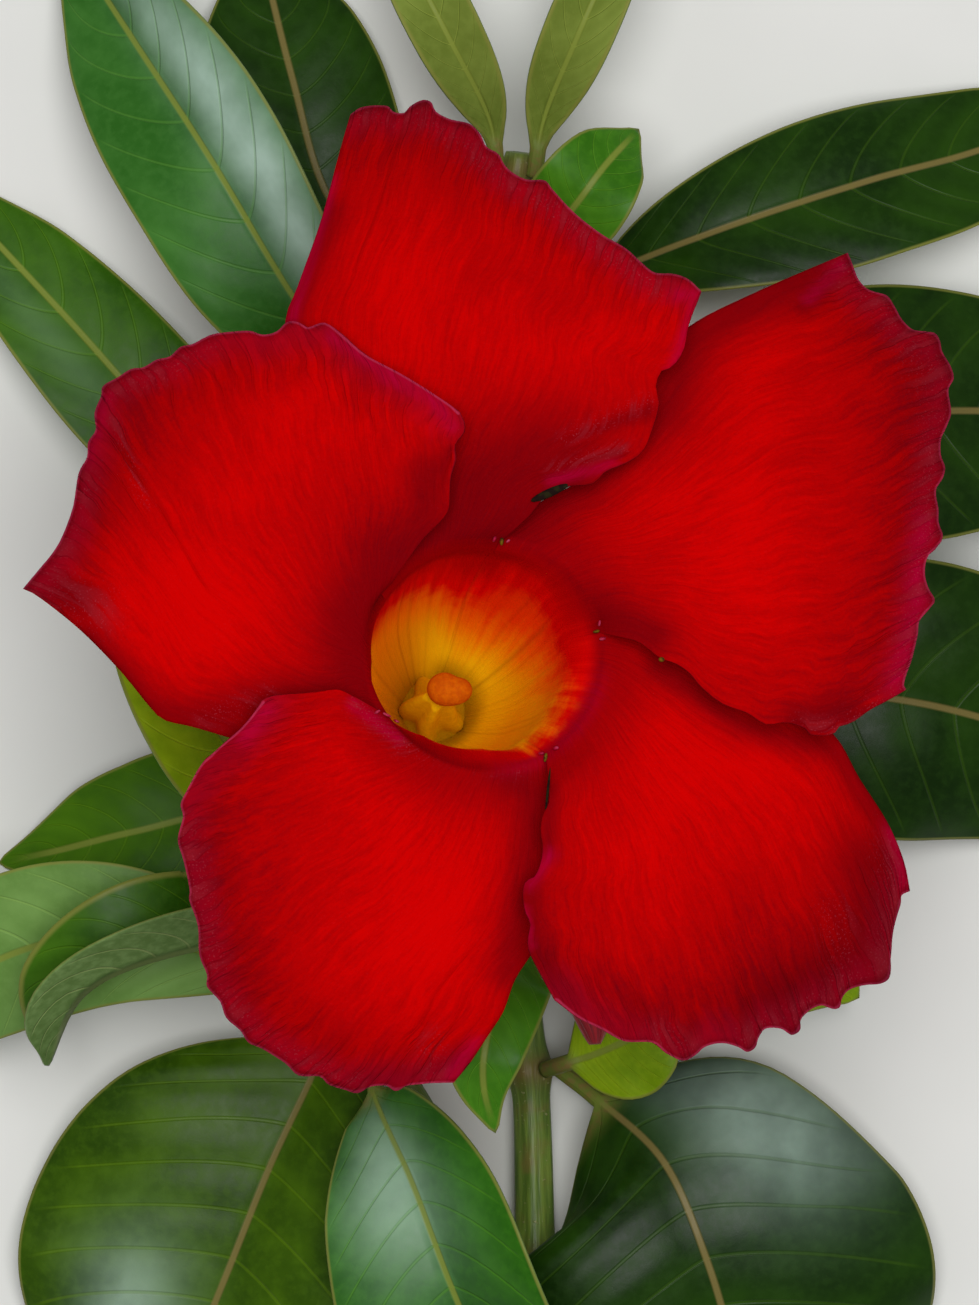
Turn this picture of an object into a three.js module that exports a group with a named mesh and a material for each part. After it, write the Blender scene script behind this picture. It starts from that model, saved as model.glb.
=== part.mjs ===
// A cut mandevilla sprig lying on a flat surface, its open flower facing up.
// Millimetres, +Z up. The sprig is laid out about the centre of the flower's throat
// (X = 0, Y = 0), the surface is at Z = 0, and the whole group is then moved so that
// its origin is the bottom centre of its box.
import * as THREE from 'three';

const degrees = THREE.MathUtils.degToRad;
const TURN = 2 * Math.PI;

// ---- Driving dimensions ----------------------------------------------------------
const RIM_HEIGHT = 60;                 // throat rim above the surface
const RIM_RADIUS = 11.4;
const FACE_TILT = Math.tan(degrees(8));
const LEAN = Math.tan(degrees(14.5));  // sideways run of the flower tube per mm of depth
const LEAN_BEARING = degrees(53);      // the face dips, and the tube leans from, this way
const PETAL_THICKNESS = 0.66;
const GAP = 0.3;                       // between pieces that touch on the plant

// Lobe relief
const LOBE_REACH = 34;
const LOBE_RISE = 0.32;                // slope of a lobe where it leaves the rim
const LOBE_ARCH = 0.395;
const PINWHEEL = 2.2;                  // over edge up and under edge down by this much
const PINWHEEL_START = 2.2;            // it is taken up over about this far from the rim
const DRAPE_START = 0.35;              // share of the width and length where the over side lifts
const MARGIN_ROLL = 1.5;
const MARGIN_ROLL_START = 0.8;
const MARGIN_ROLL_FULLNESS = 0.6;      // below 1 keeps the roll full nearer the lobe's corners
const CRIMP = 0.5;                     // up and down wave of the crimped margin

// Depth below the rim and inner radius of the bell and the narrow tube under it
const BELL = [[46, 2.3], [34, 2.7], [29.5, 4.4], [22, 7.1], [13, 8.6], [4, 9.5], [1.1, 10.35]];
const BELL_ROUND_FROM = 4;             // from this depth the bell is round, not notched as its rim is

// Each lobe, clockwise from the top one: the edge that lies under the lobe before it, the
// edge that lies over the next lobe, both from the rim outwards, the crimped margin between
// them, and how far its over side lifts to clear the next lobe.
const LOBES = [
  {
    underEdge: [[-10, 5.2], [-10, 6.5], [-11, 8.4], [-14, 13.6], [-17, 19.6], [-18.7, 25.6], [-18.9, 31.2],
      [-15.4, 40.9], [-12.8, 52]],
    margin: [[-12.8, 52], [-11.8, 52.6], [-9.4, 52.9], [-7.6, 52.3], [-5.4, 53.3], [-4.4, 52.4], [-1, 50.9],
      [0.4, 49], [2.2, 47], [4.9, 45.3], [6.3, 45.1], [8.8, 42.5], [13.6, 39.2], [17, 36.4], [20.1, 35.7],
      [21.9, 34.5]],
    overEdge: [[1.7, 10.2], [4.7, 12.9], [6.4, 14.1], [9, 15.4], [13.2, 17.3], [16.1, 20.2], [17, 23.4],
      [16.7, 24.6], [17.3, 26.4], [19.9, 29.4], [21.9, 34.5]],
    drape: 0.6,
  },
  {
    underEdge: [[1.7, 10.2], [5, 12.5], [6.8, 13.3], [9.5, 15.6], [11.8, 18.4], [15.3, 24.6], [18.4, 29.5],
      [21.2, 31.7], [27.2, 34.5], [35.7, 38.6]],
    margin: [[35.7, 38.6], [36.7, 36.3], [39.1, 34.4], [41.2, 32.3], [43.2, 30.6], [44.9, 28.8],
      [46.1, 26.3], [45.7, 24.2], [45.9, 22.4], [44.7, 19.9], [45.1, 17.1], [44.3, 14.2], [44.7, 10.7],
      [43.1, 7.9], [43.8, 4.3], [42, -0.4], [41, -4.3]],
    overEdge: [[11.6, 1.3], [14.4, 0.4], [16.7, -1.4], [18.3, -1.8], [20.7, -3.6], [23.9, -5.9],
      [27.3, -7.5], [31.1, -8.2], [33.5, -8.6], [36.1, -7.2], [41, -4.3]],
    drape: 0.6,
  },
  {
    underEdge: [[11.6, 1.3], [14.6, 0], [16.5, -1.7], [20, -1.9], [24.9, -3.7], [29.7, -5.8], [34, -8.6],
      [38.3, -15.9], [41.5, -23.7]],
    margin: [[41.5, -23.7], [40.7, -25.8], [39.7, -29.5], [39.4, -32.4], [37.4, -33], [35.1, -33.9],
      [34.3, -35], [32.6, -34.9], [30.4, -37.3], [27.8, -36.8], [25.8, -38.8], [22.4, -38.3], [19.4, -39.7],
      [16.4, -38.2], [13.4, -37.8], [10.4, -35.9], [6.7, -33.3]],
    overEdge: [[6.2, -10.7], [6.4, -12.4], [6.5, -14.5], [5.8, -16.1], [5.5, -19.5], [5.2, -21.5],
      [4.1, -22.7], [4, -24.7], [4.4, -28.6], [6.7, -33.3]],
    drape: 0.6,
  },
  {
    underEdge: [[6.2, -10.7], [6.2, -12.9], [6.1, -14.8], [6.8, -17.7], [7.3, -21.5], [6.5, -26.3],
      [4.3, -29.9], [2.5, -34], [0.3, -38], [-2.5, -42.1]],
    margin: [[-2.5, -42.1], [-5.5, -42.3], [-8.3, -42.8], [-10.2, -42.3], [-12.3, -42.9], [-14.9, -42.1],
      [-17.7, -41.2], [-20.3, -38.9], [-22.2, -38.4], [-24.5, -35.8], [-26.5, -32.7], [-26.8, -29.7],
      [-28, -24.2], [-29.3, -18.4], [-28.9, -14.9], [-26.6, -10.7], [-23.3, -8.3], [-21.1, -5.3]],
    overEdge: [[-9.3, -6.7], [-10.6, -6.8], [-11.9, -5.8], [-13.1, -4.8], [-15.4, -4.3], [-18.3, -4.6],
      [-21.1, -5.3]],
    drape: 0.6,
  },
  {
    underEdge: [[-9.3, -6.7], [-10.5, -6.3], [-12, -6.8], [-14, -8.6], [-16.6, -9.9], [-20.4, -9.9],
      [-24.3, -8.7], [-27.5, -7.7], [-30.6, -6.7], [-34, -3.3], [-41.8, 4.3], [-44.2, 5.5]],
    margin: [[-44.2, 5.5], [-40.8, 10.4], [-39.2, 16.3], [-38.1, 19.7], [-37.5, 22.9], [-36.8, 25],
      [-34.6, 26.6], [-33, 26.9], [-30.6, 28.1], [-28.7, 29.2], [-26.5, 30.1], [-22.5, 30.6], [-20.4, 30.3],
      [-18.4, 31.3], [-17.3, 30.9], [-15.5, 31.1], [-11.1, 28.1], [-7.7, 26.2], [-2.2, 22.8]],
    overEdge: [[-10, 5.2], [-10.1, 6.7], [-9.5, 8.2], [-8.4, 9.5], [-7.1, 10.3], [-5.7, 11.1], [-4.5, 12.1],
      [-3.5, 13.6], [-3.1, 15.6], [-2.6, 18.8], [-1.8, 20.8], [-2.2, 22.8]],
    drape: 2.8,
  },
];
const LOBE_ROWS = [0.04, 0.12, 0.26, 0.43, 0.62, 0.82, 1];   // from just off the rim to the margin

// Stems: points along the middle, and the radius at each end
const MAIN_STEM = {
  route: [[6.5, -90, 2.3], [5.6, -70, 2.5], [5, -45, 2.7], [2.2, -22, 3.6], [-0.5, -2, 4.4], [0, 18, 4.8],
    [2, 34, 5.4], [3.9, 51, 8]],
  radii: [2.2, 1.3],
  joints: [-64, -44, -28, -2, 18, 34, 49],
};
const SIDE_SHOOT = {
  route: [[2.4, -62.6, 4.4], [-0.6, -57, 5.2], [-4.5, -50.5, 5.8], [-8.5, -44, 6], [-12, -38, 6.2],
    [-14, -33.5, 7]],
  radii: [1.35, 1],
  joints: [-42, -34.5],
};
const STALK_RADII = [1.25, 1.1];

// Leaves: the stem each grows from, where along it (Y), the middle line of its blade,
// its length of stalk, full width, roll about its middle line, fold and droop of its halves.
const LEAVES = {
  leaf_upper_left: {
    from: MAIN_STEM, at: 18, stalk: 11, width: 19, roll: 24, fold: 22, droop: 0.1,
    middle: [[-11, 25, 9], [-19, 35.5, 15], [-27.6, 49.8, 16], [-35.6, 62.2, 10], [-44.5, 76, -0.4]],
  },
  leaf_high_left: {
    from: MAIN_STEM, at: 34, stalk: 7, width: 20, roll: -10, fold: 10, droop: 0.2,
    middle: [[-7, 37, 6], [-15.7, 46, 6], [-19.8, 59, 4.5], [-24, 76, -0.4]],
  },
  leaf_high_right: {
    from: MAIN_STEM, at: 34, stalk: 9, width: 17, roll: 18, fold: 12, droop: 0.2,
    middle: [[12, 38, 8], [25, 43, 11], [40, 48, 9], [51.9, 51.5, 5], [68, 58, -0.4]],
  },
  leaf_right: {
    from: MAIN_STEM, at: 18, stalk: 12, width: 27, roll: 8, fold: 14, droop: 0.25,
    middle: [[14, 19, 9], [28, 22, 14], [44, 24, 12], [58, 24, 6], [71, 22, -0.4]],
  },
  leaf_left: {
    from: MAIN_STEM, at: -2, stalk: 13, width: 15, roll: -12, fold: 12, droop: 0.15,
    middle: [[-12, 5, 4.6], [-22, 13, 5.4], [-33.1, 23, 5.6], [-43.6, 34.5, 4], [-60, 52, -0.4]],
  },
  leaf_mid_right: {
    from: MAIN_STEM, at: -2, stalk: 13, width: 29, roll: -6, fold: 12, droop: 0.3,
    middle: [[14, -3, 7], [30, -4, 12], [46, -6, 11], [60, -10, 5], [74, -15, -0.4]],
  },
  leaf_dull_left: {
    from: MAIN_STEM, at: -28, stalk: 13, width: 15, roll: -8, fold: 10, droop: 0.2,
    middle: [[-12, -21, 4], [-24, -17, 5.6], [-36, -19.2, 5.6], [-44, -21.2, 3.4], [-50.5, -22.6, -0.4]],
  },
  leaf_low_right: {
    from: MAIN_STEM, at: -28, stalk: 9, width: 20, roll: 6, fold: 16, droop: 0.2,
    middle: [[12, -26, 5], [21, -27, 7.5], [31, -31, 8.5], [39, -36.4, 6]],
  },
  leaf_lower_right: {
    from: MAIN_STEM, at: -44, stalk: 6, width: 46, roll: 6, fold: 10, droop: 0.32,
    middle: [[12, -47, 6], [18.6, -53, 11], [23, -63, 12], [26.5, -75, 8], [32, -96, -0.4]],
  },
  leaf_lower_left: {
    from: SIDE_SHOOT, at: -34.5, stalk: 5, width: 44, roll: -14, fold: 20, droop: 0.22,
    middle: [[-16.8, -42.5, 7], [-22, -54, 7.5], [-27.8, -68.4, 6], [-37, -90, -0.4]],
  },
  leaf_bottom: {
    from: SIDE_SHOOT, at: -42, stalk: 6, width: 23, roll: -26, fold: 26, droop: 0.12,
    middle: [[-10.8, -46.2, 13.6], [-7, -54.5, 19], [-3, -65, 20], [1.5, -76, 15.5], [5.5, -88, 8.5]],
  },
  leaf_folded: {
    from: SIDE_SHOOT, at: -34.5, stalk: 9, width: 7.8, roll: -58, fold: 62, droop: 0.1,
    middle: [[-22, -29, 19], [-29, -30.4, 23], [-35.3, -32.2, 24.5], [-39.5, -34.4, 23.5],
      [-42, -37.3, 20.5], [-44.5, -43, 14]],
  },
  leaf_pale_left: {
    from: SIDE_SHOOT, at: -39, stalk: 12, width: 16, roll: 10, fold: 10, droop: 0.2,
    middle: [[-24, -33, 14], [-36, -29.5, 16.5], [-47, -31, 15], [-57.5, -37, 9], [-67, -47, -0.4]],
  },
  leaf_young_left: {
    from: SIDE_SHOOT, at: -33.6, stalk: 12, width: 15, roll: -18, fold: 20, droop: 0.1,
    middle: [[-15.5, -25.5, 17], [-20, -17, 24], [-27, -8, 28], [-32.6, 2, 28], [-35.5, 12, 25]],
  },
  leaf_pointed: {
    from: MAIN_STEM, at: -37, stalk: 20, width: 9.5, roll: 6, fold: 14, droop: 0.1,
    middle: [[5.4, -33, 16], [4.8, -30.5, 28], [2.4, -32.5, 36], [0.4, -39, 39], [0.1, -43.6, 38.5],
      [1.3, -48.4, 36]],
  },
  leaf_axil: {
    from: MAIN_STEM, at: -44, stalk: 5, width: 12, roll: 0, fold: 8, droop: 0.1,
    middle: [[8.6, -43, 9], [12, -41.8, 10.6], [16, -39.8, 12.6], [20.5, -37, 14]],
  },
  leaf_small_top: {
    from: MAIN_STEM, at: 38, stalk: 5, width: 10, roll: 0, fold: 16, droop: 0.1,
    middle: [[6, 41, 14], [9.5, 45, 18], [12.5, 49, 18], [16, 53, 14]],
  },
  leaf_tip_left: {
    from: MAIN_STEM, at: 49, stalk: 3, width: 7, roll: 0, fold: 32, droop: 0,
    middle: [[0.6, 54.5, 11], [-3.6, 62.5, 16], [-7.4, 70, 16], [-11.5, 80, 11]],
  },
  leaf_tip_right: {
    from: MAIN_STEM, at: 49, stalk: 3, width: 7, roll: 0, fold: 32, droop: 0,
    middle: [[6.4, 54.5, 11], [9.8, 62.5, 16], [13, 70, 16], [16.5, 80, 11]],
  },
};
const BLADE_THICKNESS = 0.62;
const STALK_HALF = 0.85;
const STALK_ROUNDNESS = 0.9;           // 1 would bring its sides to an edge
const MIDRIB_DEPTH = 0.55;
const BLADE_STATIONS = [0.05, 0.15, 0.27, 0.4, 0.53, 0.66, 0.78, 0.88, 0.95];
const BLADE_COLUMNS = [-1, -0.55, 0, 0.55, 1];

// ---- Materials -------------------------------------------------------------------
const finish = (color, roughness) => new THREE.MeshStandardMaterial({ color, roughness, metalness: 0 });
const PETAL = finish(0xb80206, 0.62);
const THROAT_YELLOW = finish(0xc88a08, 0.6);
const HEAD_ORANGE = finish(0xd06008, 0.6);
const STEM_GREEN = finish(0x5a7426, 0.55);
const CALYX_GREEN = finish(0x6d8a30, 0.55);
const BUD_RED = finish(0xa00a1e, 0.6);
const LEAF_GREEN = finish(0x2f5a12, 0.35);
const YOUNG_GREEN = finish(0x7a9a26, 0.4);
const YOUNG_LEAVES = ['leaf_young_left', 'leaf_pointed', 'leaf_axil', 'leaf_small_top', 'leaf_tip_left',
  'leaf_tip_right'];

// ---- Curves ----------------------------------------------------------------------
function through(points) {
  const corners = points.map(([x, y, z = 0]) => new THREE.Vector3(x, y, z));
  return new THREE.CatmullRomCurve3(corners, false, 'catmullrom', 0.5);
}

function smooth(from, to, value) {
  return THREE.MathUtils.smoothstep(value, from, to);
}

// ---- A sheet of triangles that is given its thickness at the end ------------------
class Sheet {
  constructor() {
    this.points = [];
    this.above = [];
    this.below = [];
    this.triangles = [];
  }

  add(point, above, below = above) {
    this.points.push(point);
    this.above.push(above);
    this.below.push(below);
    return this.points.length - 1;
  }

  quad(a, b, c, d) {
    this.triangles.push([a, b, c], [a, c, d]);
  }

  // Rows of point numbers, joined row to row
  weave(rows) {
    for (let i = 0; i + 1 < rows.length; i += 1) {
      const [row, next] = [rows[i], rows[i + 1]];
      for (let column = 0; column + 1 < row.length; column += 1) {
        this.quad(row[column], row[column + 1], next[column + 1], next[column]);
      }
    }
  }

  normals() {
    const sums = this.points.map(() => new THREE.Vector3());
    for (const [a, b, c] of this.triangles) {
      const toB = this.points[b].clone().sub(this.points[a]);
      const toC = this.points[c].clone().sub(this.points[a]);
      const normal = toB.cross(toC);
      sums[a].add(normal);
      sums[b].add(normal);
      sums[c].add(normal);
    }
    return sums.map((sum) => sum.normalize());
  }

  // The closed body: both faces, and a wall along every free edge. Nothing goes below Z = floor.
  body(floor = -Infinity) {
    const normals = this.normals();
    const count = this.points.length;
    const corners = [];
    this.points.forEach((point, i) => {
      corners.push(point.clone().addScaledVector(normals[i], this.above[i]));
      corners[i].z = Math.max(corners[i].z, floor + this.above[i] + this.below[i]);
    });
    this.points.forEach((point, i) => {
      const under = point.clone().addScaledVector(normals[i], -this.below[i]);
      under.z = Math.max(under.z, floor);
      corners.push(under);
    });
    const faces = [];
    const sides = new Set();
    for (const [a, b, c] of this.triangles) {
      faces.push([a, b, c], [a + count, c + count, b + count]);
      for (const [from, to] of [[a, b], [b, c], [c, a]]) {
        sides.add(`${from},${to}`);
      }
    }
    for (const side of sides) {
      const [from, to] = side.split(',').map(Number);
      if (!sides.has(`${to},${from}`)) {
        faces.push([to, from, from + count], [to, from + count, to + count]);
      }
    }
    return solid(corners, faces);
  }
}

function solid(corners, faces) {
  const geometry = new THREE.BufferGeometry();
  const coordinates = corners.flatMap((corner) => corner.toArray());
  geometry.setAttribute('position', new THREE.Float32BufferAttribute(coordinates, 3));
  geometry.setIndex(faces.flat());
  geometry.computeVertexNormals();
  return geometry;
}

// ---- A closed body lofted through rings of the same number of points ---------------
function loft(rings) {
  const corners = rings.flat();
  const around = rings[0].length;
  const faces = [];
  for (let ring = 0; ring + 1 < rings.length; ring += 1) {
    for (let i = 0; i < around; i += 1) {
      const next = (i + 1) % around;
      const here = ring * around;
      const there = here + around;
      faces.push([here + i, here + next, there + next], [here + i, there + next, there + i]);
    }
  }
  const middle = (ring) => ring.reduce((sum, p) => sum.add(p), new THREE.Vector3()).divideScalar(around);
  const start = corners.push(middle(rings[0])) - 1;
  const end = corners.push(middle(rings.at(-1))) - 1;
  const last = (rings.length - 1) * around;
  for (let i = 0; i < around; i += 1) {
    const next = (i + 1) % around;
    faces.push([start, next, i], [end, last + i, last + next]);
  }
  return solid(corners, faces);
}

// Rings square to a curve; radius(t, point, angle) gives the outline at t along it
function tubeRings(curve, steps, sides, radius) {
  const { normals, binormals } = curve.computeFrenetFrames(steps, false);
  return Array.from({ length: steps + 1 }, (_, step) => {
    const centre = curve.getPointAt(step / steps);
    return Array.from({ length: sides }, (_, side) => {
      const angle = TURN * side / sides;
      const reach = radius(step / steps, centre, angle);
      return centre.clone()
        .addScaledVector(normals[step], reach * Math.cos(angle))
        .addScaledVector(binormals[step], reach * Math.sin(angle));
    });
  });
}

// ---- The flower's own axis ---------------------------------------------------------
function inFlower(depth, radius, angle) {
  const x = radius * Math.cos(angle);
  const y = radius * Math.sin(angle);
  return new THREE.Vector3(
    x - depth * LEAN * Math.cos(LEAN_BEARING),
    y - depth * LEAN * Math.sin(LEAN_BEARING),
    RIM_HEIGHT - depth + faceDip(x, y),
  );
}

function faceDip(x, y) {
  return -FACE_TILT * (x * Math.cos(LEAN_BEARING) + y * Math.sin(LEAN_BEARING));
}

// ---- Corolla: narrow tube, bell and five lobes, one thin body ------------------------
// A point of the rim, a share of the way clockwise between two sinuses
function rimPoint(from, to, share) {
  const start = Math.atan2(from.y, from.x);
  const sweep = (start - Math.atan2(to.y, to.x) + TURN) % TURN;
  const angle = start - sweep * share;
  const radius = THREE.MathUtils.lerp(from.length(), to.length(), share);
  return { angle, radius, point: new THREE.Vector3(radius * Math.cos(angle), radius * Math.sin(angle), 0) };
}

// The lobe as a patch between its rim, its two edges and its margin: u runs clockwise
// along the margin, v from the rim out, and crimp counts along the margin's points.
function lobePoint(lobe, u, v, crimp) {
  const marginPoint = lobe.margin.getPoint(crimp / lobe.crimps);
  const underPoint = lobe.underEdge.getPointAt(v);
  const overPoint = lobe.overEdge.getPointAt(v);
  const rim = rimPoint(lobe.underEdge.points[0], lobe.overEdge.points[0], u).point;
  const bottom = lobe.underEdge.points[0].clone().lerp(lobe.overEdge.points[0], u);
  const top = lobe.underEdge.points.at(-1).clone().lerp(lobe.overEdge.points.at(-1), u);
  const flat = underPoint.clone().lerp(overPoint, u)
    .addScaledVector(rim.clone().sub(bottom), 1 - v)
    .addScaledVector(marginPoint.sub(top), v);
  const reach = flat.distanceTo(rim);
  const dish = reach * (LOBE_RISE - LOBE_ARCH * reach / LOBE_REACH);
  const pinwheel = PINWHEEL * (1 - Math.exp(-reach / PINWHEEL_START)) * (2 * u - 1);
  const rollShare = smooth(MARGIN_ROLL_START, 1, v) * Math.sin(Math.PI * u) ** MARGIN_ROLL_FULLNESS;
  const drape = lobe.drape * smooth(DRAPE_START, 1, u) * smooth(DRAPE_START, 1, v);
  const wave = CRIMP * v ** 5 * Math.cos(Math.PI * crimp);
  const relief = dish + pinwheel + drape - MARGIN_ROLL * rollShare + wave;
  return new THREE.Vector3(flat.x, flat.y, RIM_HEIGHT + faceDip(flat.x, flat.y) + relief);
}

const STEPS_PER_CRIMP = 20;            // for measuring along a margin

function corolla() {
  const sheet = new Sheet();
  const half = PETAL_THICKNESS / 2;
  const lobes = LOBES.map(({ underEdge, margin, overEdge, drape }) => ({
    underEdge: through(underEdge),
    margin: through(margin),
    overEdge: through(overEdge),
    crimps: margin.length - 1,
    drape,
  }));
  // Where each listed point of a margin falls, as a share of the margin's length
  const shares = lobes.map(({ margin, crimps }) => {
    const lengths = margin.getLengths(crimps * STEPS_PER_CRIMP);
    return Array.from({ length: crimps + 1 }, (_, i) => lengths[i * STEPS_PER_CRIMP] / lengths.at(-1));
  });

  const rims = lobes.flatMap((lobe, which) => shares[which].slice(0, -1).map(
    (share) => rimPoint(lobe.underEdge.points[0], lobe.overEdge.points[0], share),
  ));
  const rings = BELL.map(([depth, radius]) => rims.map((rim) => {
    const roundness = Math.min(depth / BELL_ROUND_FROM, 1);
    const reach = radius * THREE.MathUtils.lerp(rim.radius / RIM_RADIUS, 1, roundness);
    return sheet.add(inFlower(depth, reach, rim.angle), half);
  }));
  rings.push(rims.map(({ angle, radius }) => sheet.add(inFlower(0, radius, angle), half)));
  const closed = rings.map((ring) => [...ring, ring[0]]);
  sheet.weave(closed);
  const floor = sheet.add(inFlower(BELL[0][0], 0, 0), half);
  const [lowest] = closed;
  for (let i = 0; i + 1 < lowest.length; i += 1) {
    sheet.triangles.push([floor, lowest[i + 1], lowest[i]]);
  }

  const rimRing = closed.at(-1);
  let start = 0;
  lobes.forEach((lobe, which) => {
    const rows = LOBE_ROWS.map((v) => shares[which].map(
      (share, crimp) => sheet.add(lobePoint(lobe, share, v, crimp), half),
    ));
    sheet.weave([rimRing.slice(start, start + lobe.crimps + 1), ...rows]);
    start += lobe.crimps;
  });
  return sheet.body();
}

// ---- Anther cone on its style, and the head that caps it ----------------------------
const HEAD_DEPTH = 20.8;
const HEAD = { long: 2.15, short: 1.35, half: 1.2, waist: 0.12, bearing: degrees(-8) };
const CONE_PROFILE = [
  [45.4, 0.5], [36, 0.5], [32.6, 0.9], [30.6, 2.3], [27.5, 2.1], [24.6, 1.5], [22.5, 1.1],
];
const CONE_RIDGES = 5;
const CONE_RIDGE_DEPTH = 0.22;

function antherCone() {
  const sides = CONE_RIDGES * 4;
  const rings = CONE_PROFILE.map(([depth, radius]) => Array.from({ length: sides }, (_, side) => {
    const angle = TURN * side / sides;
    const ridge = 1 + CONE_RIDGE_DEPTH * smooth(0.6, 2, radius) * Math.cos(CONE_RIDGES * angle);
    return inFlower(depth, radius * ridge, angle);
  }));
  return loft(rings);
}

function antherHead() {
  const sides = 12;
  const slices = 6;
  const rings = [];
  for (let slice = 1; slice < slices; slice += 1) {
    const lift = Math.PI * slice / slices;
    rings.push(Array.from({ length: sides }, (_, side) => {
      const angle = TURN * side / sides;
      const waist = 1 - HEAD.waist * Math.sin(angle) ** 2;
      const along = HEAD.long * Math.cos(angle) * Math.sin(lift);
      const across = HEAD.short * waist * Math.sin(angle) * Math.sin(lift);
      const centre = inFlower(HEAD_DEPTH, 0, 0);
      return centre.add(new THREE.Vector3(
        along * Math.cos(HEAD.bearing) - across * Math.sin(HEAD.bearing),
        along * Math.sin(HEAD.bearing) + across * Math.cos(HEAD.bearing),
        -HEAD.half * Math.cos(lift),
      ));
    }));
  }
  return loft(rings);
}

// ---- Calyx: a small cup with five narrow sepals round the foot of the flower ----------
const FLOWER_FOOT = BELL[0][0] + PETAL_THICKNESS / 2;
const SEPALS = 5;
const SEPAL_HALF = 0.33;               // half its thickness
const CALYX = { radius: 3.35, length: 9, flare: 2.2, cupDepths: [0, 0.9, 2.6], cupShares: [0.9, 1, 1.02] };
const SEPAL_WAIST = { along: 0.62, out: 0.35, spread: 0.07 * TURN };

function calyx() {
  const sheet = new Sheet();
  const floorDepth = FLOWER_FOOT + GAP + SEPAL_HALF;
  const around = 2 * SEPALS;
  const add = (rise, radius, angle) => sheet.add(inFlower(floorDepth - rise, radius, angle), SEPAL_HALF);
  const rings = CALYX.cupDepths.map((rise, ring) => Array.from({ length: around }, (_, i) => (
    add(rise, CALYX.radius * CALYX.cupShares[ring], TURN * i / around))));
  sheet.weave(rings.map((ring) => [...ring, ring[0]].reverse()));
  const [bottom] = rings;
  const mouth = rings.at(-1);
  const centre = add(0, 0, 0);
  for (let i = 0; i < around; i += 1) {
    sheet.triangles.push([centre, bottom[i], bottom[(i + 1) % around]]);
  }
  for (let i = 0; i < around; i += 2) {
    const angle = TURN * (i + 1) / around;
    const waistRise = SEPAL_WAIST.along * CALYX.length;
    const waistRadius = CALYX.radius + SEPAL_WAIST.out * CALYX.flare;
    const left = add(waistRise, waistRadius, angle - SEPAL_WAIST.spread);
    const right = add(waistRise, waistRadius, angle + SEPAL_WAIST.spread);
    const tip = add(CALYX.length, CALYX.radius + CALYX.flare, angle);
    const [first, rib, second] = [mouth[i], mouth[i + 1], mouth[(i + 2) % around]];
    sheet.triangles.push([first, left, rib], [rib, left, right], [rib, right, second], [left, tip, right]);
  }
  return sheet.body();
}

// ---- Stems, with a swelling at each leaf joint -----------------------------------------
const JOINT_SWELL = 0.55;
const JOINT_LENGTH = 1.8;

function stemRadius(stem, t, y) {
  const bulge = (joint) => JOINT_SWELL * Math.exp(-(((y - joint) / JOINT_LENGTH) ** 2));
  const swelling = stem.joints.reduce((sum, joint) => sum + bulge(joint), 0);
  return THREE.MathUtils.lerp(stem.radii[0], stem.radii[1], t) + swelling;
}

function stemBody(stem, steps) {
  const rings = tubeRings(through(stem.route), steps, 8, (t, centre) => stemRadius(stem, t, centre.y));
  for (const point of rings.flat()) {
    point.z = Math.max(point.z, 0);
  }
  return loft(rings);
}

// Where a stem passes a given Y
function stemPlace(stem, y) {
  const curve = through(stem.route);
  const samples = 400;
  let best = 0;
  for (let i = 0; i <= samples; i += 1) {
    if (Math.abs(curve.getPointAt(i / samples).y - y) < Math.abs(curve.getPointAt(best).y - y)) {
      best = i / samples;
    }
  }
  const centre = curve.getPointAt(best);
  const along = curve.getTangentAt(best);
  return { centre, along, radius: stemRadius(stem, best, y) };
}

// The route of a side piece, starting just off the stem that carries it: its end is flat
// and the stem round and faceted, so the middle of that end stands back a little more than GAP.
const SIDE_GAP = 2.4 * GAP;

function offStem(stem, y, points) {
  const { centre, along, radius } = stemPlace(stem, y);
  const away = new THREE.Vector3(...points[0]).sub(centre).projectOnPlane(along).normalize();
  return [centre.addScaledVector(away, radius + SIDE_GAP).toArray(), ...points];
}

// ---- Leaves: a stalk that widens into a blade folded along a midrib ---------------------
// Half the width a share s along the blade: a full ellipse, widest a little below its
// middle, that narrows to a drawn-out tip.
const BLADE = { base: 0.9, fullness: 0.72, tipFrom: 0.72, tipDraw: 0.4, leastHalf: 0.12 };

function bladeHalfWidth(width, s) {
  const oval = Math.sin(Math.PI * s ** BLADE.base) ** BLADE.fullness;
  const draw = 1 - BLADE.tipDraw * smooth(BLADE.tipFrom, 1, s);
  return 0.5 * width * oval * draw + BLADE.leastHalf;
}

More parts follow.
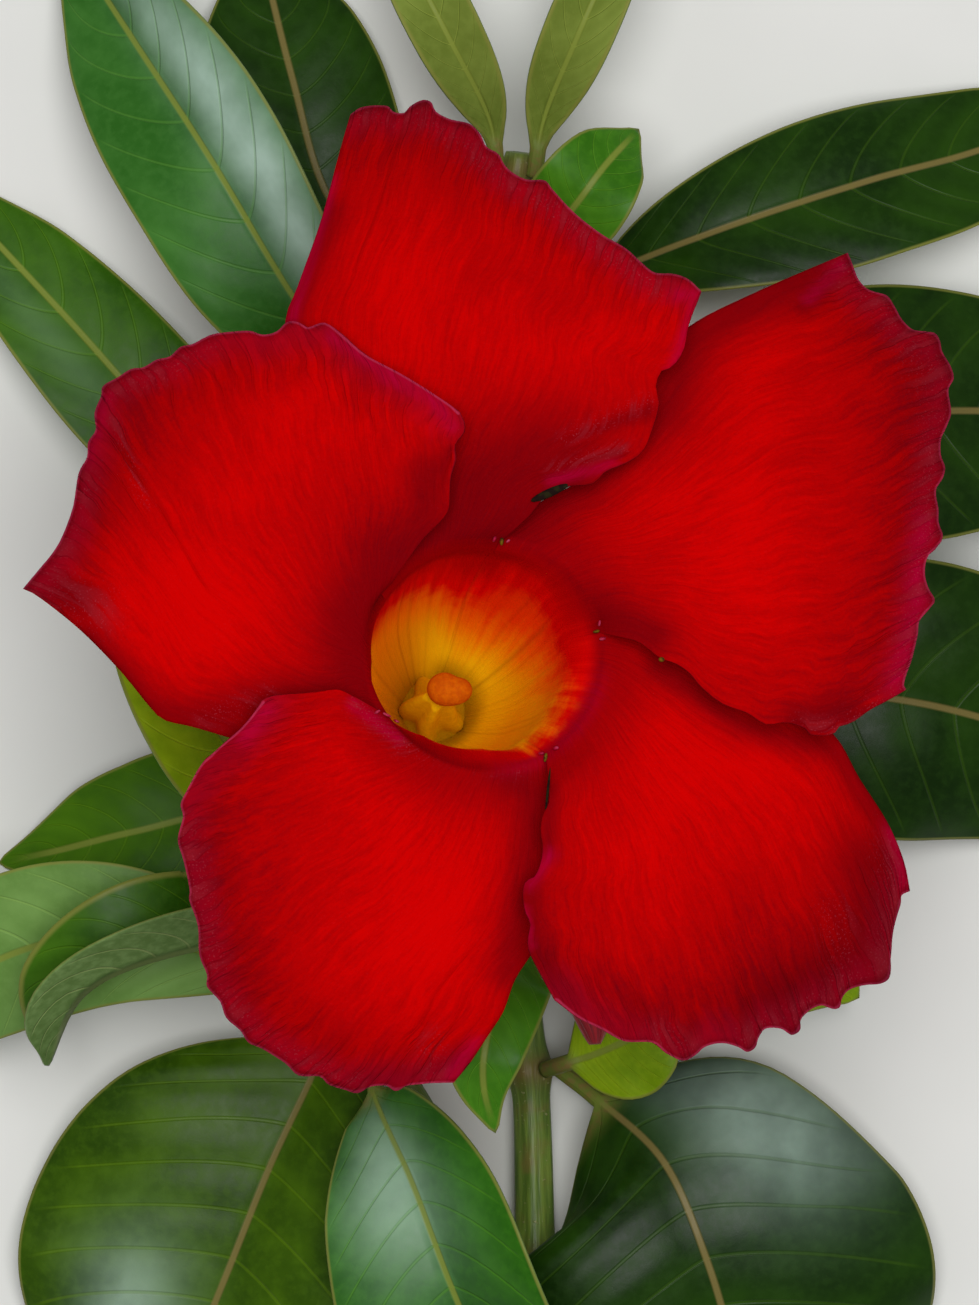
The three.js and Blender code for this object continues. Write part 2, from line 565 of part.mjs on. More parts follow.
function leaf({ from, at, stalk, width, roll, fold, droop, middle }) {
  const sheet = new Sheet();
  const curve = through(offStem(from, at, middle));
  const length = curve.getLength();
  const blade = length - stalk;
  const stations = [0, 0.5, 1].map((share) => ({ distance: stalk * share, s: 0 }));
  stations.push(...BLADE_STATIONS.map((s) => ({ distance: stalk + blade * s, s })));
  const up = new THREE.Vector3(0, 0, 1);
  const rows = stations.map(({ distance, s }) => {
    const centre = curve.getPointAt(Math.min(distance / length, 1));
    const ahead = curve.getTangentAt(Math.min(distance / length, 1));
    const level = ahead.clone().cross(up).normalize();
    const raised = level.clone().cross(ahead);
    const side = level.clone().applyAxisAngle(ahead, -degrees(roll));
    const out = raised.applyAxisAngle(ahead, -degrees(roll));
    const half = s === 0 ? STALK_HALF : bladeHalfWidth(width, s);
    return BLADE_COLUMNS.map((column) => {
      const reach = column * half;
      if (s === 0) {
        const round = STALK_HALF * Math.sqrt(1 - STALK_ROUNDNESS * column * column);
        return sheet.add(centre.clone().addScaledVector(side, reach), round);
      }
      const lift = Math.abs(reach) * Math.tan(degrees(fold)) - droop * reach * reach / half;
      const point = centre.clone().addScaledVector(side, reach).addScaledVector(out, lift);
      const rib = column === 0 ? MIDRIB_DEPTH * (1 - s) : 0;
      return sheet.add(point, BLADE_THICKNESS / 2, BLADE_THICKNESS / 2 + rib);
    });
  });
  sheet.weave(rows);
  const tip = sheet.add(curve.getPointAt(1), BLADE_THICKNESS / 2);
  const lastRow = rows.at(-1);
  for (let i = 0; i + 1 < lastRow.length; i += 1) {
    sheet.triangles.push([lastRow[i], lastRow[i + 1], tip]);
  }
  return sheet.body(0);
}

// ---- Flower stalk, bud and its stalk -----------------------------------------------------
const FLOWER_STALK = { at: -24, route: [[-3.5, -21, 8.6], [-8, -17, 9.2], [-9.8, -13.6, 8.8]] };
const STALK_LEAD = 3;                  // the straight end of a stalk behind what it carries

function flowerStalk() {
  const topDepth = FLOWER_FOOT + 2 * GAP + 2 * SEPAL_HALF;
  const top = inFlower(topDepth, 0, 0);
  const lead = inFlower(topDepth + STALK_LEAD, 0, 0);
  const route = offStem(MAIN_STEM, FLOWER_STALK.at, FLOWER_STALK.route);
  const curve = through([...route, lead.toArray(), top.toArray()]);
  return loft(tubeRings(curve, 22, 8, (t) => THREE.MathUtils.lerp(...STALK_RADII, t)));
}

// A blunt spindle whose five folded petals wind round it
const BUD = {
  foot: [9.6, -11, 13], tip: [11.5, -40.6, 17], radius: 4.2, footShare: 0.34, tipRadius: 0.12,
  widest: 0.52, taperEnd: 1.02, bluntness: 0.4, petals: 5, turns: 0.55, ridge: 0.13,
};
const BUD_STALK = { at: -2, route: [[3, -3.6, 9], [7, -5.6, 12]], radius: 1 };

function budBody() {
  const curve = through([BUD.foot, BUD.tip]);
  return loft(tubeRings(curve, 12, 20, (t, _, angle) => {
    const swell = THREE.MathUtils.lerp(BUD.footShare, 1, smooth(0, BUD.widest, t));
    const taper = (1 - smooth(BUD.widest, BUD.taperEnd, t)) ** BUD.bluntness;
    const wound = BUD.petals * (angle / TURN + BUD.turns * t);
    const step = BUD.ridge * (wound - Math.floor(wound) - 0.5);
    return (BUD.radius * swell * taper + BUD.tipRadius) * (1 + step);
  }));
}

function budStalk() {
  const foot = new THREE.Vector3(...BUD.foot);
  const back = foot.clone().sub(new THREE.Vector3(...BUD.tip)).normalize();
  const end = foot.clone().addScaledVector(back, GAP);
  const lead = foot.clone().addScaledVector(back, STALK_LEAD);
  const route = offStem(MAIN_STEM, BUD_STALK.at, BUD_STALK.route);
  const curve = through([...route, lead.toArray(), end.toArray()]);
  return loft(tubeRings(curve, 12, 8, () => BUD_STALK.radius));
}

// ---- The sprig ------------------------------------------------------------------------------
const group = new THREE.Group();

function place(name, geometry, material) {
  const mesh = new THREE.Mesh(geometry, material);
  mesh.name = name;
  group.add(mesh);
}

place('corolla', corolla(), PETAL);
place('anther_cone', antherCone(), THROAT_YELLOW);
place('anther_head', antherHead(), HEAD_ORANGE);
place('calyx', calyx(), CALYX_GREEN);
place('flower_stalk', flowerStalk(), STEM_GREEN);
place('main_stem', stemBody(MAIN_STEM, 44), STEM_GREEN);
place('side_shoot', stemBody(SIDE_SHOOT, 12), STEM_GREEN);
place('bud', budBody(), BUD_RED);
place('bud_stalk', budStalk(), STEM_GREEN);
for (const [name, shape] of Object.entries(LEAVES)) {
  place(name, leaf(shape), YOUNG_LEAVES.includes(name) ? YOUNG_GREEN : LEAF_GREEN);
}

const box = new THREE.Box3().setFromObject(group);
const middle = box.getCenter(new THREE.Vector3());
group.position.set(-middle.x, -middle.y, -box.min.z);

export default group;
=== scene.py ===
# A cut mandevilla sprig seen from above: the open red flower, its throat, bud, stems and
# glossy leaves. Shapes are worked out in millimetres about the centre of the flower's
# throat, with the surface at Z = 0, and moved onto the frame when each mesh is made.
import math

import bpy
import numpy as np
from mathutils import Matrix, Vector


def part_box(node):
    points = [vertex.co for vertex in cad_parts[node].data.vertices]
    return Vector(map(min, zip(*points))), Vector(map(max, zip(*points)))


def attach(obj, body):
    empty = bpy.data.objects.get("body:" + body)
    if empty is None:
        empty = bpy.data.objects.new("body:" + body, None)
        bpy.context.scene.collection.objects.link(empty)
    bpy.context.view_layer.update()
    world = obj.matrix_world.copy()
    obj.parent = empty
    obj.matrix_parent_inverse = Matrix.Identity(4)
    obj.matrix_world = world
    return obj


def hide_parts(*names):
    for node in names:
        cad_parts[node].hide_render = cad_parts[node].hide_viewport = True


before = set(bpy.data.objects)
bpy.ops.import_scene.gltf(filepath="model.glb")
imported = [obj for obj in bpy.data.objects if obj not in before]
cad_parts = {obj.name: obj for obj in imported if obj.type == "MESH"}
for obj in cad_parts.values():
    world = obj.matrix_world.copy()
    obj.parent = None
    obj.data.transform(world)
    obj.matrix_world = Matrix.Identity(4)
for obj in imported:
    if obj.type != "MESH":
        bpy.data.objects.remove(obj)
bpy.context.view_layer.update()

MM = 0.001
TURN = 2 * math.pi
UP = (0, 0, 1.0)
RNG = np.random.default_rng(20)

# ---- Driving dimensions of the flower ----
RIM_HEIGHT = 60.0
RIM_RADIUS = 11.4
FACE_TILT = math.tan(math.radians(8))
LEAN = math.tan(math.radians(14.5))
LEAN_BEARING = math.radians(53)
LOBE_REACH = 34.0
LOBE_RISE = 0.32
LOBE_ARCH = 0.395
NERVE_RELIEF = 0.06                    # how far a lobe's fine nerves and broad swells stand up
SWELL_RELIEF = 0.2
PINWHEEL = 2.2
PINWHEEL_START = 2.2
DRAPE_START = 0.35
MARGIN_ROLL = 1.5
MARGIN_ROLL_START = 0.8
LIP_BEARING = math.radians(-48)
# the bell and tube, as depths below the rim and radii
BELL_FOOT = 46.0
BELL = [(BELL_FOOT, 2.3), (34, 2.7), (29.5, 4.4), (22, 7.1), (13, 8.7), (4, 9.65), (1.1, 10.4),
        (0, RIM_RADIUS)]
BELL_ROUND_FROM = 4.0
BELL_SHIFT = (-0.45, 0.35, 0)
BELL_HALF = 0.3                        # half the thickness of the bell's wall
TIP_HALF = 0.13                        # and of a lobe near its margin
LOBE_HALF = 0.2
RIM_THICKENING = 0.1

# Each lobe, clockwise from the top one: its under edge and over edge from the rim out, the
# toothed margin between them, and how far its over side lifts to clear the next lobe. Then come
# soft lines. It is brightest about its glow, each line after how far off it counts as at its own
# middle; that brightness is partly the lobe's own red and partly painted light. Its folds come
# after a width and a height. It darkens along its shade, a painted shade, turns purple along the
# lines of its painted sheen, and shows pale hairs along its dust, where each line comes after
# its width.
LOBES = [dict(
    under=[(-10, 5.2), (-10, 6.5), (-11, 8.4), (-14, 13.6), (-17, 19.6), (-18.7, 25.6), (-19, 31.3),
        (-17.8, 34.9), (-15.6, 41.6), (-13.9, 48.9), (-13, 52.4)],
    margin=[(-13, 52.4), (-11.9, 53.1), (-10.4, 53.3), (-9.3, 53.2), (-8.7, 52.6), (-7.7, 52.5),
        (-6.9, 53.3), (-5.8, 53.8), (-5, 53.5), (-4.5, 52.5), (-3, 51.7), (-1.3, 51.3), (-0.2, 50.2),
        (0.4, 48.9), (1.6, 48.1), (2.5, 46.6), (4.3, 45.5), (6.1, 45.4), (7.1, 44.2), (9.2, 41.9),
        (11.8, 39.8), (13.9, 38.5), (15.4, 37.1), (16.7, 36.1), (18.4, 36), (19.9, 35.5), (21.2, 34.3)],
    over=[(1.7, 10.2), (3.2, 11.3), (4.7, 12.7), (5.9, 14.2), (7.3, 15), (8.6, 15.4), (10.6, 15.6),
        (11.9, 16.8), (13.8, 17.6), (15.4, 18.7), (16.3, 20.7), (17, 23.2), (16.7, 24.9), (17.2, 26.4),
        (18.3, 26.9), (19.4, 28.5), (20, 31.2), (21.2, 34.3)],
    drape=0.6,
    glow=[(1, (-7.6, 36), (-7.2, 31)), (4, (-7, 32), (8, 27.6), (16.6, 31)), (7, (0, 41), (11, 35))],
    shade=[(6, (-9.5, 13), (-3, 15), (7, 18)), (2.5, (1.5, 11), (9, 16)), (2, (-15, 42), (-19, 31)),
        (1.1, (7.6, 19.6), (16, 22.6)), (0.9, (5.8, 16.8), (13.2, 18.6))],
    folds=[(0.9, -0.5, (8.4, 19.4), (16.4, 22.6)), (0.8, -0.4, (5.6, 16.6), (13.6, 18.4)),
        (1.5, 0.5, (9.4, 42.4), (17, 34.4)), (0.7, 0.35, (-5.8, 52.6), (-6.6, 46))],
    blush_and_sheen=[(0.6, (18.6, 33.8), (21, 34), (17.8, 25)), (0.5, (6.6, 15.8), (12.6, 17.4)),
        (0.6, (-14.6, 45.4), (-18.6, 31))],
    dust=[(1.1, (-12, 52), (-6, 52), (3.8, 44.6), (17, 34.8)), (0.7, (8, 20), (16, 23.4)),
        (0.6, (6.6, 17), (13.6, 19))],
), dict(
    under=[(1.7, 10.2), (3.2, 11.6), (4.7, 13), (6, 14.1), (7.4, 14.8), (8.8, 15.5), (10.4, 17.4),
        (15.3, 24.6), (18.4, 29.3), (21.2, 31.7), (27.6, 34.9), (36, 38.8)],
    margin=[(36, 38.8), (36.5, 37.6), (37.1, 36), (38.2, 35), (39.8, 34.6), (40.6, 33.5), (41.3, 32.2),
        (42.5, 31.1), (44.5, 30.9), (45.1, 30.1), (45.3, 29), (46.1, 27.6), (46.4, 26.3), (45.8, 25.1),
        (46, 23), (45.6, 21.7), (44.9, 20.3), (44.8, 18.7), (45.2, 17.4), (44.9, 16.3), (44.2, 15.1),
        (44.4, 13.4), (44.4, 12), (44.8, 10.7), (44.3, 9.7), (43.3, 8.7), (42.9, 7.1), (43.2, 5.6),
        (43.8, 4.4), (43.1, 3.4), (42.2, 2.3), (42, 0.9), (41.4, -1.3), (40.6, -3.5), (40.8, -4.2)],
    over=[(11.6, 1.3), (13.2, 0.9), (15, 0.4), (16.1, -0.4), (17.2, -1.2), (18.6, -1.7), (19.9, -2.6),
        (21.1, -4), (23, -5.5), (25.4, -6.4), (27.2, -7.5), (29.1, -7.3), (30.9, -7.8), (31.6, -8.5),
        (33.6, -8.5), (34.1, -7.8), (35.6, -7.3), (37.3, -6.1), (39.2, -5.1), (40.8, -4.2)],
    drape=0.6,
    glow=[(1.5, (24.7, 7), (24.9, 14)), (4, (26.4, 26), (24.9, 14), (18, 13))],
    shade=[(3, (20.6, 31), (17.6, 23), (10, 16), (2, 11)), (1.4, (35, 37), (31.4, 33.4)),
        (2.6, (19, 28), (22, 31), (33, 37)), (2.2, (12, 3), (16.6, 1)), (1.6, (30, -7), (35, -6))],
    folds=[(1.0, 0.5, (40.4, 4.4), (40, -3)), (1.0, -0.35, (36.6, 37.4), (32, 32.8)),
        (0.7, -0.3, (31.4, -7.4), (29.6, -3.6)), (0.9, 0.3, (17.4, 5), (17.8, -1))],
    blush_and_sheen=[(1.1, (42.8, 12), (41.6, 2), (40, -3.4)), (0.6, (35.4, 37.4), (32, 34))],
    dust=[(2.4, (36, 37.8), (41.4, 32), (44.8, 26)), (1.8, (44.4, 22), (43.4, 10), (41, -2.6)),
        (1.0, (35.6, -7), (39.8, -4.8)), (0.9, (30.6, -7.6), (34, -8))],
), dict(
    under=[(11.6, 1.3), (13.5, 1.1), (15.5, 0.5), (17.5, -0.5), (20, -1.4), (24.9, -3.7), (29.7, -5.8),
        (33.9, -8.6), (36.4, -12.8), (39.2, -17.1), (40.9, -20.8), (41.6, -23.8)],
    margin=[(41.6, -23.8), (40.8, -24.2), (40.6, -25.2), (40.1, -26.9), (39.8, -28.5), (39.7, -30.4),
        (39.6, -32.2), (38.7, -32.8), (37.3, -32.9), (35.7, -33.3), (34.9, -34.1), (34.7, -35),
        (34, -35.2), (32.8, -34.8), (31.6, -35.3), (30.8, -36.2), (30.7, -37.2), (29.9, -37.6),
        (28.9, -37), (27.4, -36.9), (26.7, -37.6), (26.3, -38.7), (25.5, -39.1), (24.6, -38.6),
        (23.1, -38.2), (21.5, -38.5), (20.5, -39.3), (19.3, -39.8), (17.7, -39.1), (16.3, -38),
        (13.6, -37.8), (11.4, -36.6), (9.1, -35.4), (7, -33.7)],
    over=[(6.2, -10.7), (6.3, -12.1), (6.4, -13.8), (6.4, -15), (5.8, -16.2), (5.6, -17.6), (5.8, -19.1),
        (5.6, -20.7), (5, -22), (4.2, -22.4), (3.9, -23.5), (4.1, -25.2), (4.6, -26.4), (4.4, -27.8),
        (4.5, -29), (5.8, -31.5), (7, -33.7)],
    drape=0.6,
    glow=[(-0.5, (20.8, -11.4), (26.5, -12)), (1.5, (16.1, -18.5), (20.8, -11.4))],
    shade=[(4.5, (38, -21), (37.6, -30), (29, -35)), (1.8, (4.4, -22), (4.8, -28), (8, -34)),
        (1.1, (6.4, -14), (6.2, -20)), (1.7, (17, -2), (25, -7.6), (34, -10)),
        (2, (34, -9), (39.6, -18), (41.2, -23))],
    folds=[(0.9, 0.4, (6.6, -14.6), (10.6, -11)), (0.7, -0.3, (34, -34), (32.4, -27)),
        (1.4, 0.4, (38.6, -31.4), (37.4, -23)), (0.7, -0.3, (20, -38.6), (22.2, -33))],
    blush_and_sheen=[(0.7, (4.4, -22.6), (6.4, -20)), (0.8, (39.4, -17.8), (41.2, -23)),
        (0.3, (4.2, -25), (4.6, -28.6))],
    dust=[(1.7, (39.4, -20), (40.2, -24), (39, -31)), (1.2, (37, -32), (31, -35), (25.4, -37.6)),
        (1.2, (20, -38.8), (17, -36.8)), (1.6, (34, -26), (35, -32))],
), dict(
    under=[(6.2, -10.7), (6.4, -12.5), (6.9, -14.5), (7.3, -17.7), (7.6, -21.5), (6.8, -26.3),
        (4.5, -29.8), (3.1, -32), (2, -35), (0.6, -37.2), (-1.1, -39.9), (-2.7, -41.9)],
    margin=[(-2.7, -41.9), (-5, -42), (-7.1, -42.2), (-8.3, -42.7), (-9.2, -42.2), (-10.7, -42.3),
        (-12, -42.9), (-13.1, -42.6), (-14.7, -42.1), (-15.6, -41.3), (-17.6, -41.2), (-18.9, -40),
        (-21.1, -38.6), (-22.4, -38), (-23.2, -36.8), (-24.5, -35.6), (-25.1, -34), (-26.3, -32.6),
        (-26.3, -31.4), (-27, -29.5), (-27.1, -26.7), (-27.9, -24.3), (-27.9, -23.2), (-28.5, -20.4),
        (-29, -18.4), (-28.5, -16.3), (-28.7, -15.1), (-28.2, -13.9), (-26.8, -11.4), (-25.5, -10.1),
        (-22.9, -7.8), (-21.5, -6.1), (-20.9, -5.3)],
    over=[(-9.3, -6.7), (-10.6, -5.9), (-12.3, -4.9), (-13.7, -4.2), (-15.3, -4.3), (-16.9, -4.5),
        (-18.5, -4.6), (-20, -4.8), (-20.9, -5.3)],
    drape=0.6,
    glow=[(-1.5, (-4.4, -24), (-5.6, -28)), (1.8, (-8.4, -18), (-5.2, -27)), (6, (-16, -9), (-11, -14))],
    shade=[(2.4, (5.4, -15), (4, -23), (2.6, -31)), (1.8, (2, -12), (6, -15)), (1, (-28, -22), (-27, -27)),
        (1.4, (-1.6, -39.6), (-6, -41.4), (-12, -42))],
    folds=[(1.0, 0.45, (-11.4, -5.6), (-7.4, -9), (0, -11.6)), (1.2, 0.35, (-27.4, -24), (-25, -30)),
        (0.8, -0.3, (-4.6, -41), (-5.6, -36)), (0.8, 0.3, (-16.8, -6.6), (-12.6, -6))],
    blush_and_sheen=[(0.8, (-20.4, -6), (-22.6, -8.8)), (0.6, (-12.4, -5.6), (-8, -9)),
        (0.7, (-3, -41), (-0.8, -38))],
    dust=[(1.8, (-28.6, -18), (-26, -30)), (1.0, (-25.4, -33), (-20, -38.6), (-12, -42)),
        (1.0, (-12, -5.6), (-7.6, -9.4), (3.4, -11.8)), (1.2, (-4.6, -40.6), (-5, -38))],
), dict(
    under=[(-9.3, -6.7), (-10.5, -6.3), (-12, -6.8), (-14, -8.6), (-16.6, -9.9), (-20.4, -9.9),
        (-24.1, -8.8), (-27.6, -7.7), (-30.3, -7.1), (-31.7, -5.9), (-34.6, -2.4), (-38.5, 1.5),
        (-42.7, 4.7), (-44.3, 5.5)],
    margin=[(-44.3, 5.5), (-42.8, 7.3), (-41.4, 9), (-40.5, 10.6), (-39.5, 13.4), (-39, 16.6),
        (-38.2, 18.2), (-38.1, 19.7), (-37.4, 20.9), (-37.5, 22.6), (-36.9, 24.2), (-36.7, 25.2),
        (-35.3, 26), (-34, 26.8), (-32.7, 27), (-31.5, 27.7), (-30.2, 28), (-29.2, 28.9), (-28, 29.2),
        (-26.8, 29.8), (-25.6, 30.2), (-22.5, 30.4), (-21.2, 30), (-19.8, 30.3), (-18.8, 31.2),
        (-17.7, 31.2), (-16.7, 30.7), (-15.1, 31.1), (-13.4, 29.9), (-11.1, 27.9), (-7.3, 25.8),
        (-3.4, 23.3), (-2.2, 22.3)],
    over=[(-10, 5.2), (-9.6, 5.6), (-8.8, 6.2), (-7.5, 7.8), (-6.2, 9.5), (-5.5, 10.4), (-3.9, 12),
        (-3.2, 13.1), (-3.1, 14.5), (-3, 16.2), (-2.6, 17.8), (-2.6, 19.2), (-1.8, 20.3), (-1.7, 21.2),
        (-2.2, 22.3)],
    drape=2.8,
    glow=[(-1.6, (-28, 5), (-26.6, 4)), (3.4, (-27, 5), (-20.5, 18)), (4, (-20, 18), (-16, 26)),
        (5.5, (-16, 20), (-4.4, 22))],
    shade=[(4.2, (-5, 11), (-9.4, 8), (-12.6, 3), (-12, -4)),
        (2.8, (-39, 4.4), (-44, 6), (-39.6, 12), (-38.6, 17)), (2.4, (-28, -7), (-19.6, -5), (-13, -4)),
        (2.6, (-5, 16.6), (-5.4, 13), (-7, 10)), (1.8, (-38, 1), (-32, -5.6), (-24, -8)),
        (0.5, (-3, 18.8), (-4.4, 15.7), (-5.6, 13.8))],
    folds=[(0.45, -0.5, (-2.8, 18.8), (-4.2, 15.7), (-5.4, 13.8)),
        (1.3, 0.45, (-27.4, -6.6), (-19.4, -4.4)), (0.6, -0.35, (-17, 30), (-18, 26.6)),
        (0.8, -0.25, (-36, 21), (-33, 13)), (0.8, 0.25, (-38, 17), (-35.4, 11))],
    blush_and_sheen=[(0.6, (-14.6, 29.8), (-9.7, 26.6), (-5, 24.2)), (0.6, (-9.4, 25.9), (-4.4, 23.3), (-3, 21)),
        (0.7, (-36.6, 24.4), (-38.4, 18))],
    dust=[(2, (-43.6, 5.8), (-40, 5), (-37, 3.4)), (1.7, (-42, 7.6), (-38.8, 15.4)),
        (0.9, (-36, 24.6), (-31, 26.4), (-26, 29)), (0.8, (-26.6, -7), (-20.4, -4.8)),
        (0.6, (-35.6, 22), (-32.4, 14))],
)]
COLUMNS_PER_TOOTH = 4
LOBE_ROWS = 46
LOBE_ROW_CROWDING = 1.15               # rows stand closer near the rim
BELL_ROWS = 26
NERVES = 24
TOOTH_SPAN = 2.6                       # teeth are measured against the margin averaged over this length
TOOTH_CURL = -1.1                      # what a tooth's relief is at its tip, and farther in from it
TOOTH_CURL_REACH = 1.1
TOOTH_PLEAT = 0.8
TOOTH_PLEAT_REACH = 4

# Where the red of the throat gives way to orange and the orange to yellow: depths by bearing,
# in degrees anticlockwise from the right, and how many times as crisp the change is there.
ORANGE_FROM = {-68: 4, -60: 3.2, -45: 2.4, -30: 2.6, -20: 3.4, -10: 4.6, 0: 6, 10: 8, 20: 9, 30: 8.5, 45: 8,
               60: 10.5, 73: 16, 85: 16.5, 98: 15, 108: 13, 120: 11.5, 140: 9.5, 150: 7.5, 160: 5,
               172: 3.4, 186: 2.4, 200: 3.4, 275: 4}
YELLOW_FROM = {0: 19, 20: 23, 45: 25, 60: 26, 73: 26, 85: 24, 98: 21.5, 120: 18.5, 140: 17, 160: 15, 172: 8,
               186: 4.4, 200: 4.2, 280: 3.8, 290: 4.2, 300: 5, 315: 7, 330: 10, 340: 14, 350: 18}
CRISP = {130: 1, 165: 1.5, 190: 4, 280: 4, 295: 1}
# how far the wall of the bell swells out past round just below its lip, by bearing
BELL_SWELL = {140: 0, 165: 0.35, 187: 0.4, 203: 1, 213: 1.4, 224: 0.8, 240: 0.05, 275: 0, 292: 0.8,
              310: 0.3, 330: 0}

HEAD_DEPTH = 20.8
HEAD = dict(long=2.25, short=1.72, half=1.3, bearing=-4)
CONE_PROFILE = [(45.4, 0.5), (36, 0.5), (34.2, 0.9), (33.2, 2.5), (31.8, 3.3), (30.6, 3), (29, 2.7),
                (27, 2.3), (24.6, 1.8), (22.7, 1.2)]
CONE_RIDGES = 5
CONE_RIDGE_DEPTH = 0.2
CONE_TURN = math.radians(39)
CONE_SHIFT = (-0.75, -0.25, 0)
CONE_ROWS = 46


# ---- Curves and small helpers ----
def smooth(low, high, value):
    share = np.clip((np.asarray(value, float) - low) / (high - low), 0, 1)
    return share * share * (3 - 2 * share)


def hump(away, width):
    """1 at the middle of a soft ridge, falling to nothing within a few widths."""
    return np.exp(-((away / width) ** 2))


def half_turn(angle):
    """The same angle, from half a turn back to half a turn on."""
    return (angle + math.pi) % TURN - math.pi


def around(sides):
    return TURN * np.arange(sides) / sides


def unit(vectors):
    return vectors / np.linalg.norm(vectors, axis=-1, keepdims=True)


class Curve:
    """A uniform Catmull-Rom curve through its points, in 3-D."""

    def __init__(self, points):
        knots = np.array([(*point, 0.0)[:3] for point in points], float)
        self.spans = len(knots) - 1
        self.padded = np.vstack([2 * knots[0] - knots[1], knots, 2 * knots[-1] - knots[-2]])
        self.steps = np.linspace(0, 1, 401)
        pieces = np.linalg.norm(np.diff(self.at(self.steps), axis=0), axis=1)
        self.lengths = np.concatenate([[0], np.cumsum(pieces)])
        self.length = self.lengths[-1]

    def at(self, t):
        place = np.clip(np.asarray(t, float), 0, 1) * self.spans
        span = np.minimum(place.astype(int), self.spans - 1)
        w = (place - span)[..., None]
        a, b, c, d = (self.padded[span + i] for i in range(4))
        start, end = (c - a) / 2, (d - b) / 2
        return b + start * w + (3 * (c - b) - 2 * start - end) * w**2 + (2 * (b - c) + start + end) * w**3

    def along(self, share):
        return self.at(np.interp(np.asarray(share) * self.length, self.lengths, self.steps))

    def direction(self, share):
        step = 1e-3
        share = np.asarray(share, float)
        return unit(self.along(np.minimum(share + step, 1)) - self.along(np.maximum(share - step, 0)))

    def share_at(self, t):
        return np.interp(t, self.steps, self.lengths) / self.length


def turned(vectors, axes, angle):
    """vectors turned about unit axes, which they are square to."""
    return vectors * math.cos(angle) + np.cross(axes, vectors) * math.sin(angle)


def ripple(u, v, frequencies, drift=1.0):
    """A sum of waves across u that wander a little along v, about -1 to 1."""
    total = 0.0
    for frequency in frequencies:
        phase, wander, pace = RNG.uniform(0, TURN), RNG.uniform(0.3, 1) * drift, RNG.uniform(1, 3)
        total = total + np.sin(TURN * frequency * u + phase + wander * np.sin(pace * v + phase))
    return total / math.sqrt(len(frequencies))


# ---- The frame ----
def face_dip(x, y):
    return -FACE_TILT * (x * math.cos(LEAN_BEARING) + y * math.sin(LEAN_BEARING))


def in_flower(depth, radius, angle):
    x = radius * np.cos(angle)
    y = radius * np.sin(angle)
    return np.stack([
        x - depth * LEAN * math.cos(LEAN_BEARING),
        y - depth * LEAN * math.sin(LEAN_BEARING),
        RIM_HEIGHT - depth + face_dip(x, y),
    ], axis=-1)


head_low, head_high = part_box("anther_head")
SHIFT = np.array((head_low + head_high) / 2) - in_flower(HEAD_DEPTH, 0.0, 0.0) * MM


# ---- Sheets of quads that get their thickness at the end ----
class Sheet:
    """Points with marks, joined by quads and triangles, that become a closed thin body."""

    def __init__(self):
        self.points = np.zeros((0, 3))
        self.marks = {}
        self.faces = []

    def add(self, points, above, below=None, **marks):
        """Adds an array of points of any shape and returns their numbers in that shape."""
        shape = points.shape[:-1]
        first = len(self.points)
        self.points = np.vstack([self.points, points.reshape(-1, 3)])
        marks.update(above=above, below=above if below is None else below)
        for name in {**self.marks, **marks}:
            old = self.marks.get(name, np.zeros(first))
            new = np.broadcast_to(marks.get(name, 0.0), shape).ravel()
            self.marks[name] = np.concatenate([old, new])
        return first + np.arange(math.prod(shape)).reshape(shape)

    def weave(self, rows):
        self.faces.append(quads(rows))

    def fan(self, ring, centre):
        a, b = ring[:-1], ring[1:]
        tip = np.full_like(a, centre)
        self.faces.append(np.stack([a, b, tip, tip], axis=-1))

    def normals(self, faces):
        p = self.points[faces]
        square = np.cross(p[:, 2] - p[:, 0], p[:, 3] - p[:, 1])
        total = np.zeros_like(self.points)
        for corner in range(4):
            np.add.at(total, faces[:, corner], square)
        return total / np.maximum(np.linalg.norm(total, axis=1, keepdims=True), 1e-12)

    def body(self, name, floor=-math.inf):
        faces = np.vstack(self.faces)
        normals = self.normals(faces)
        count = len(self.points)
        above, below = self.marks.pop("above"), self.marks.pop("below")
        top = self.points + normals * above[:, None]
        under = self.points - normals * below[:, None]
        top[:, 2] = np.maximum(top[:, 2], floor + above + below)
        under[:, 2] = np.maximum(under[:, 2], floor)
        # a side that only one face has is part of the rim, which gets a wall
        sides = np.vstack([faces[:, [i, (i + 1) % 4]] for i in range(4)])
        sides = sides[sides[:, 0] != sides[:, 1]]
        free = sides[~np.isin(sides[:, 0] * count + sides[:, 1], sides[:, 1] * count + sides[:, 0])]
        walls = np.hstack([free[:, ::-1], free + count])
        marks = {mark: np.concatenate([values, values]) for mark, values in self.marks.items()}
        marks["underside"] = np.repeat([0.0, 1.0], count)
        faces = np.vstack([faces, faces[:, ::-1] + count, walls])
        return make_object(name, np.vstack([top, under]), faces, marks)


def quads(rows):
    """The faces of a grid of point numbers."""
    corners = rows[:-1, :-1], rows[:-1, 1:], rows[1:, 1:], rows[1:, :-1]
    return np.stack(corners, axis=-1).reshape(-1, 4)


def make_object(name, points, faces, marks=None):
    """A smooth mesh object from points in millimetres; a quad's repeated corner makes a triangle."""
    rings = [[corner for i, corner in enumerate(face) if corner != face[i - 1]] for face in faces.tolist()]
    mesh = bpy.data.meshes.new(name)
    mesh.from_pydata(points * MM + SHIFT, [], rings)
    mesh.shade_smooth()
    for mark, values in (marks or {}).items():
        attribute = mesh.attributes.new(mark, "FLOAT", "POINT")
        attribute.data.foreach_set("value", np.asarray(values, np.float32))
    mesh.validate()
    obj = bpy.data.objects.new(name, mesh)
    bpy.context.scene.collection.objects.link(obj)
    return obj


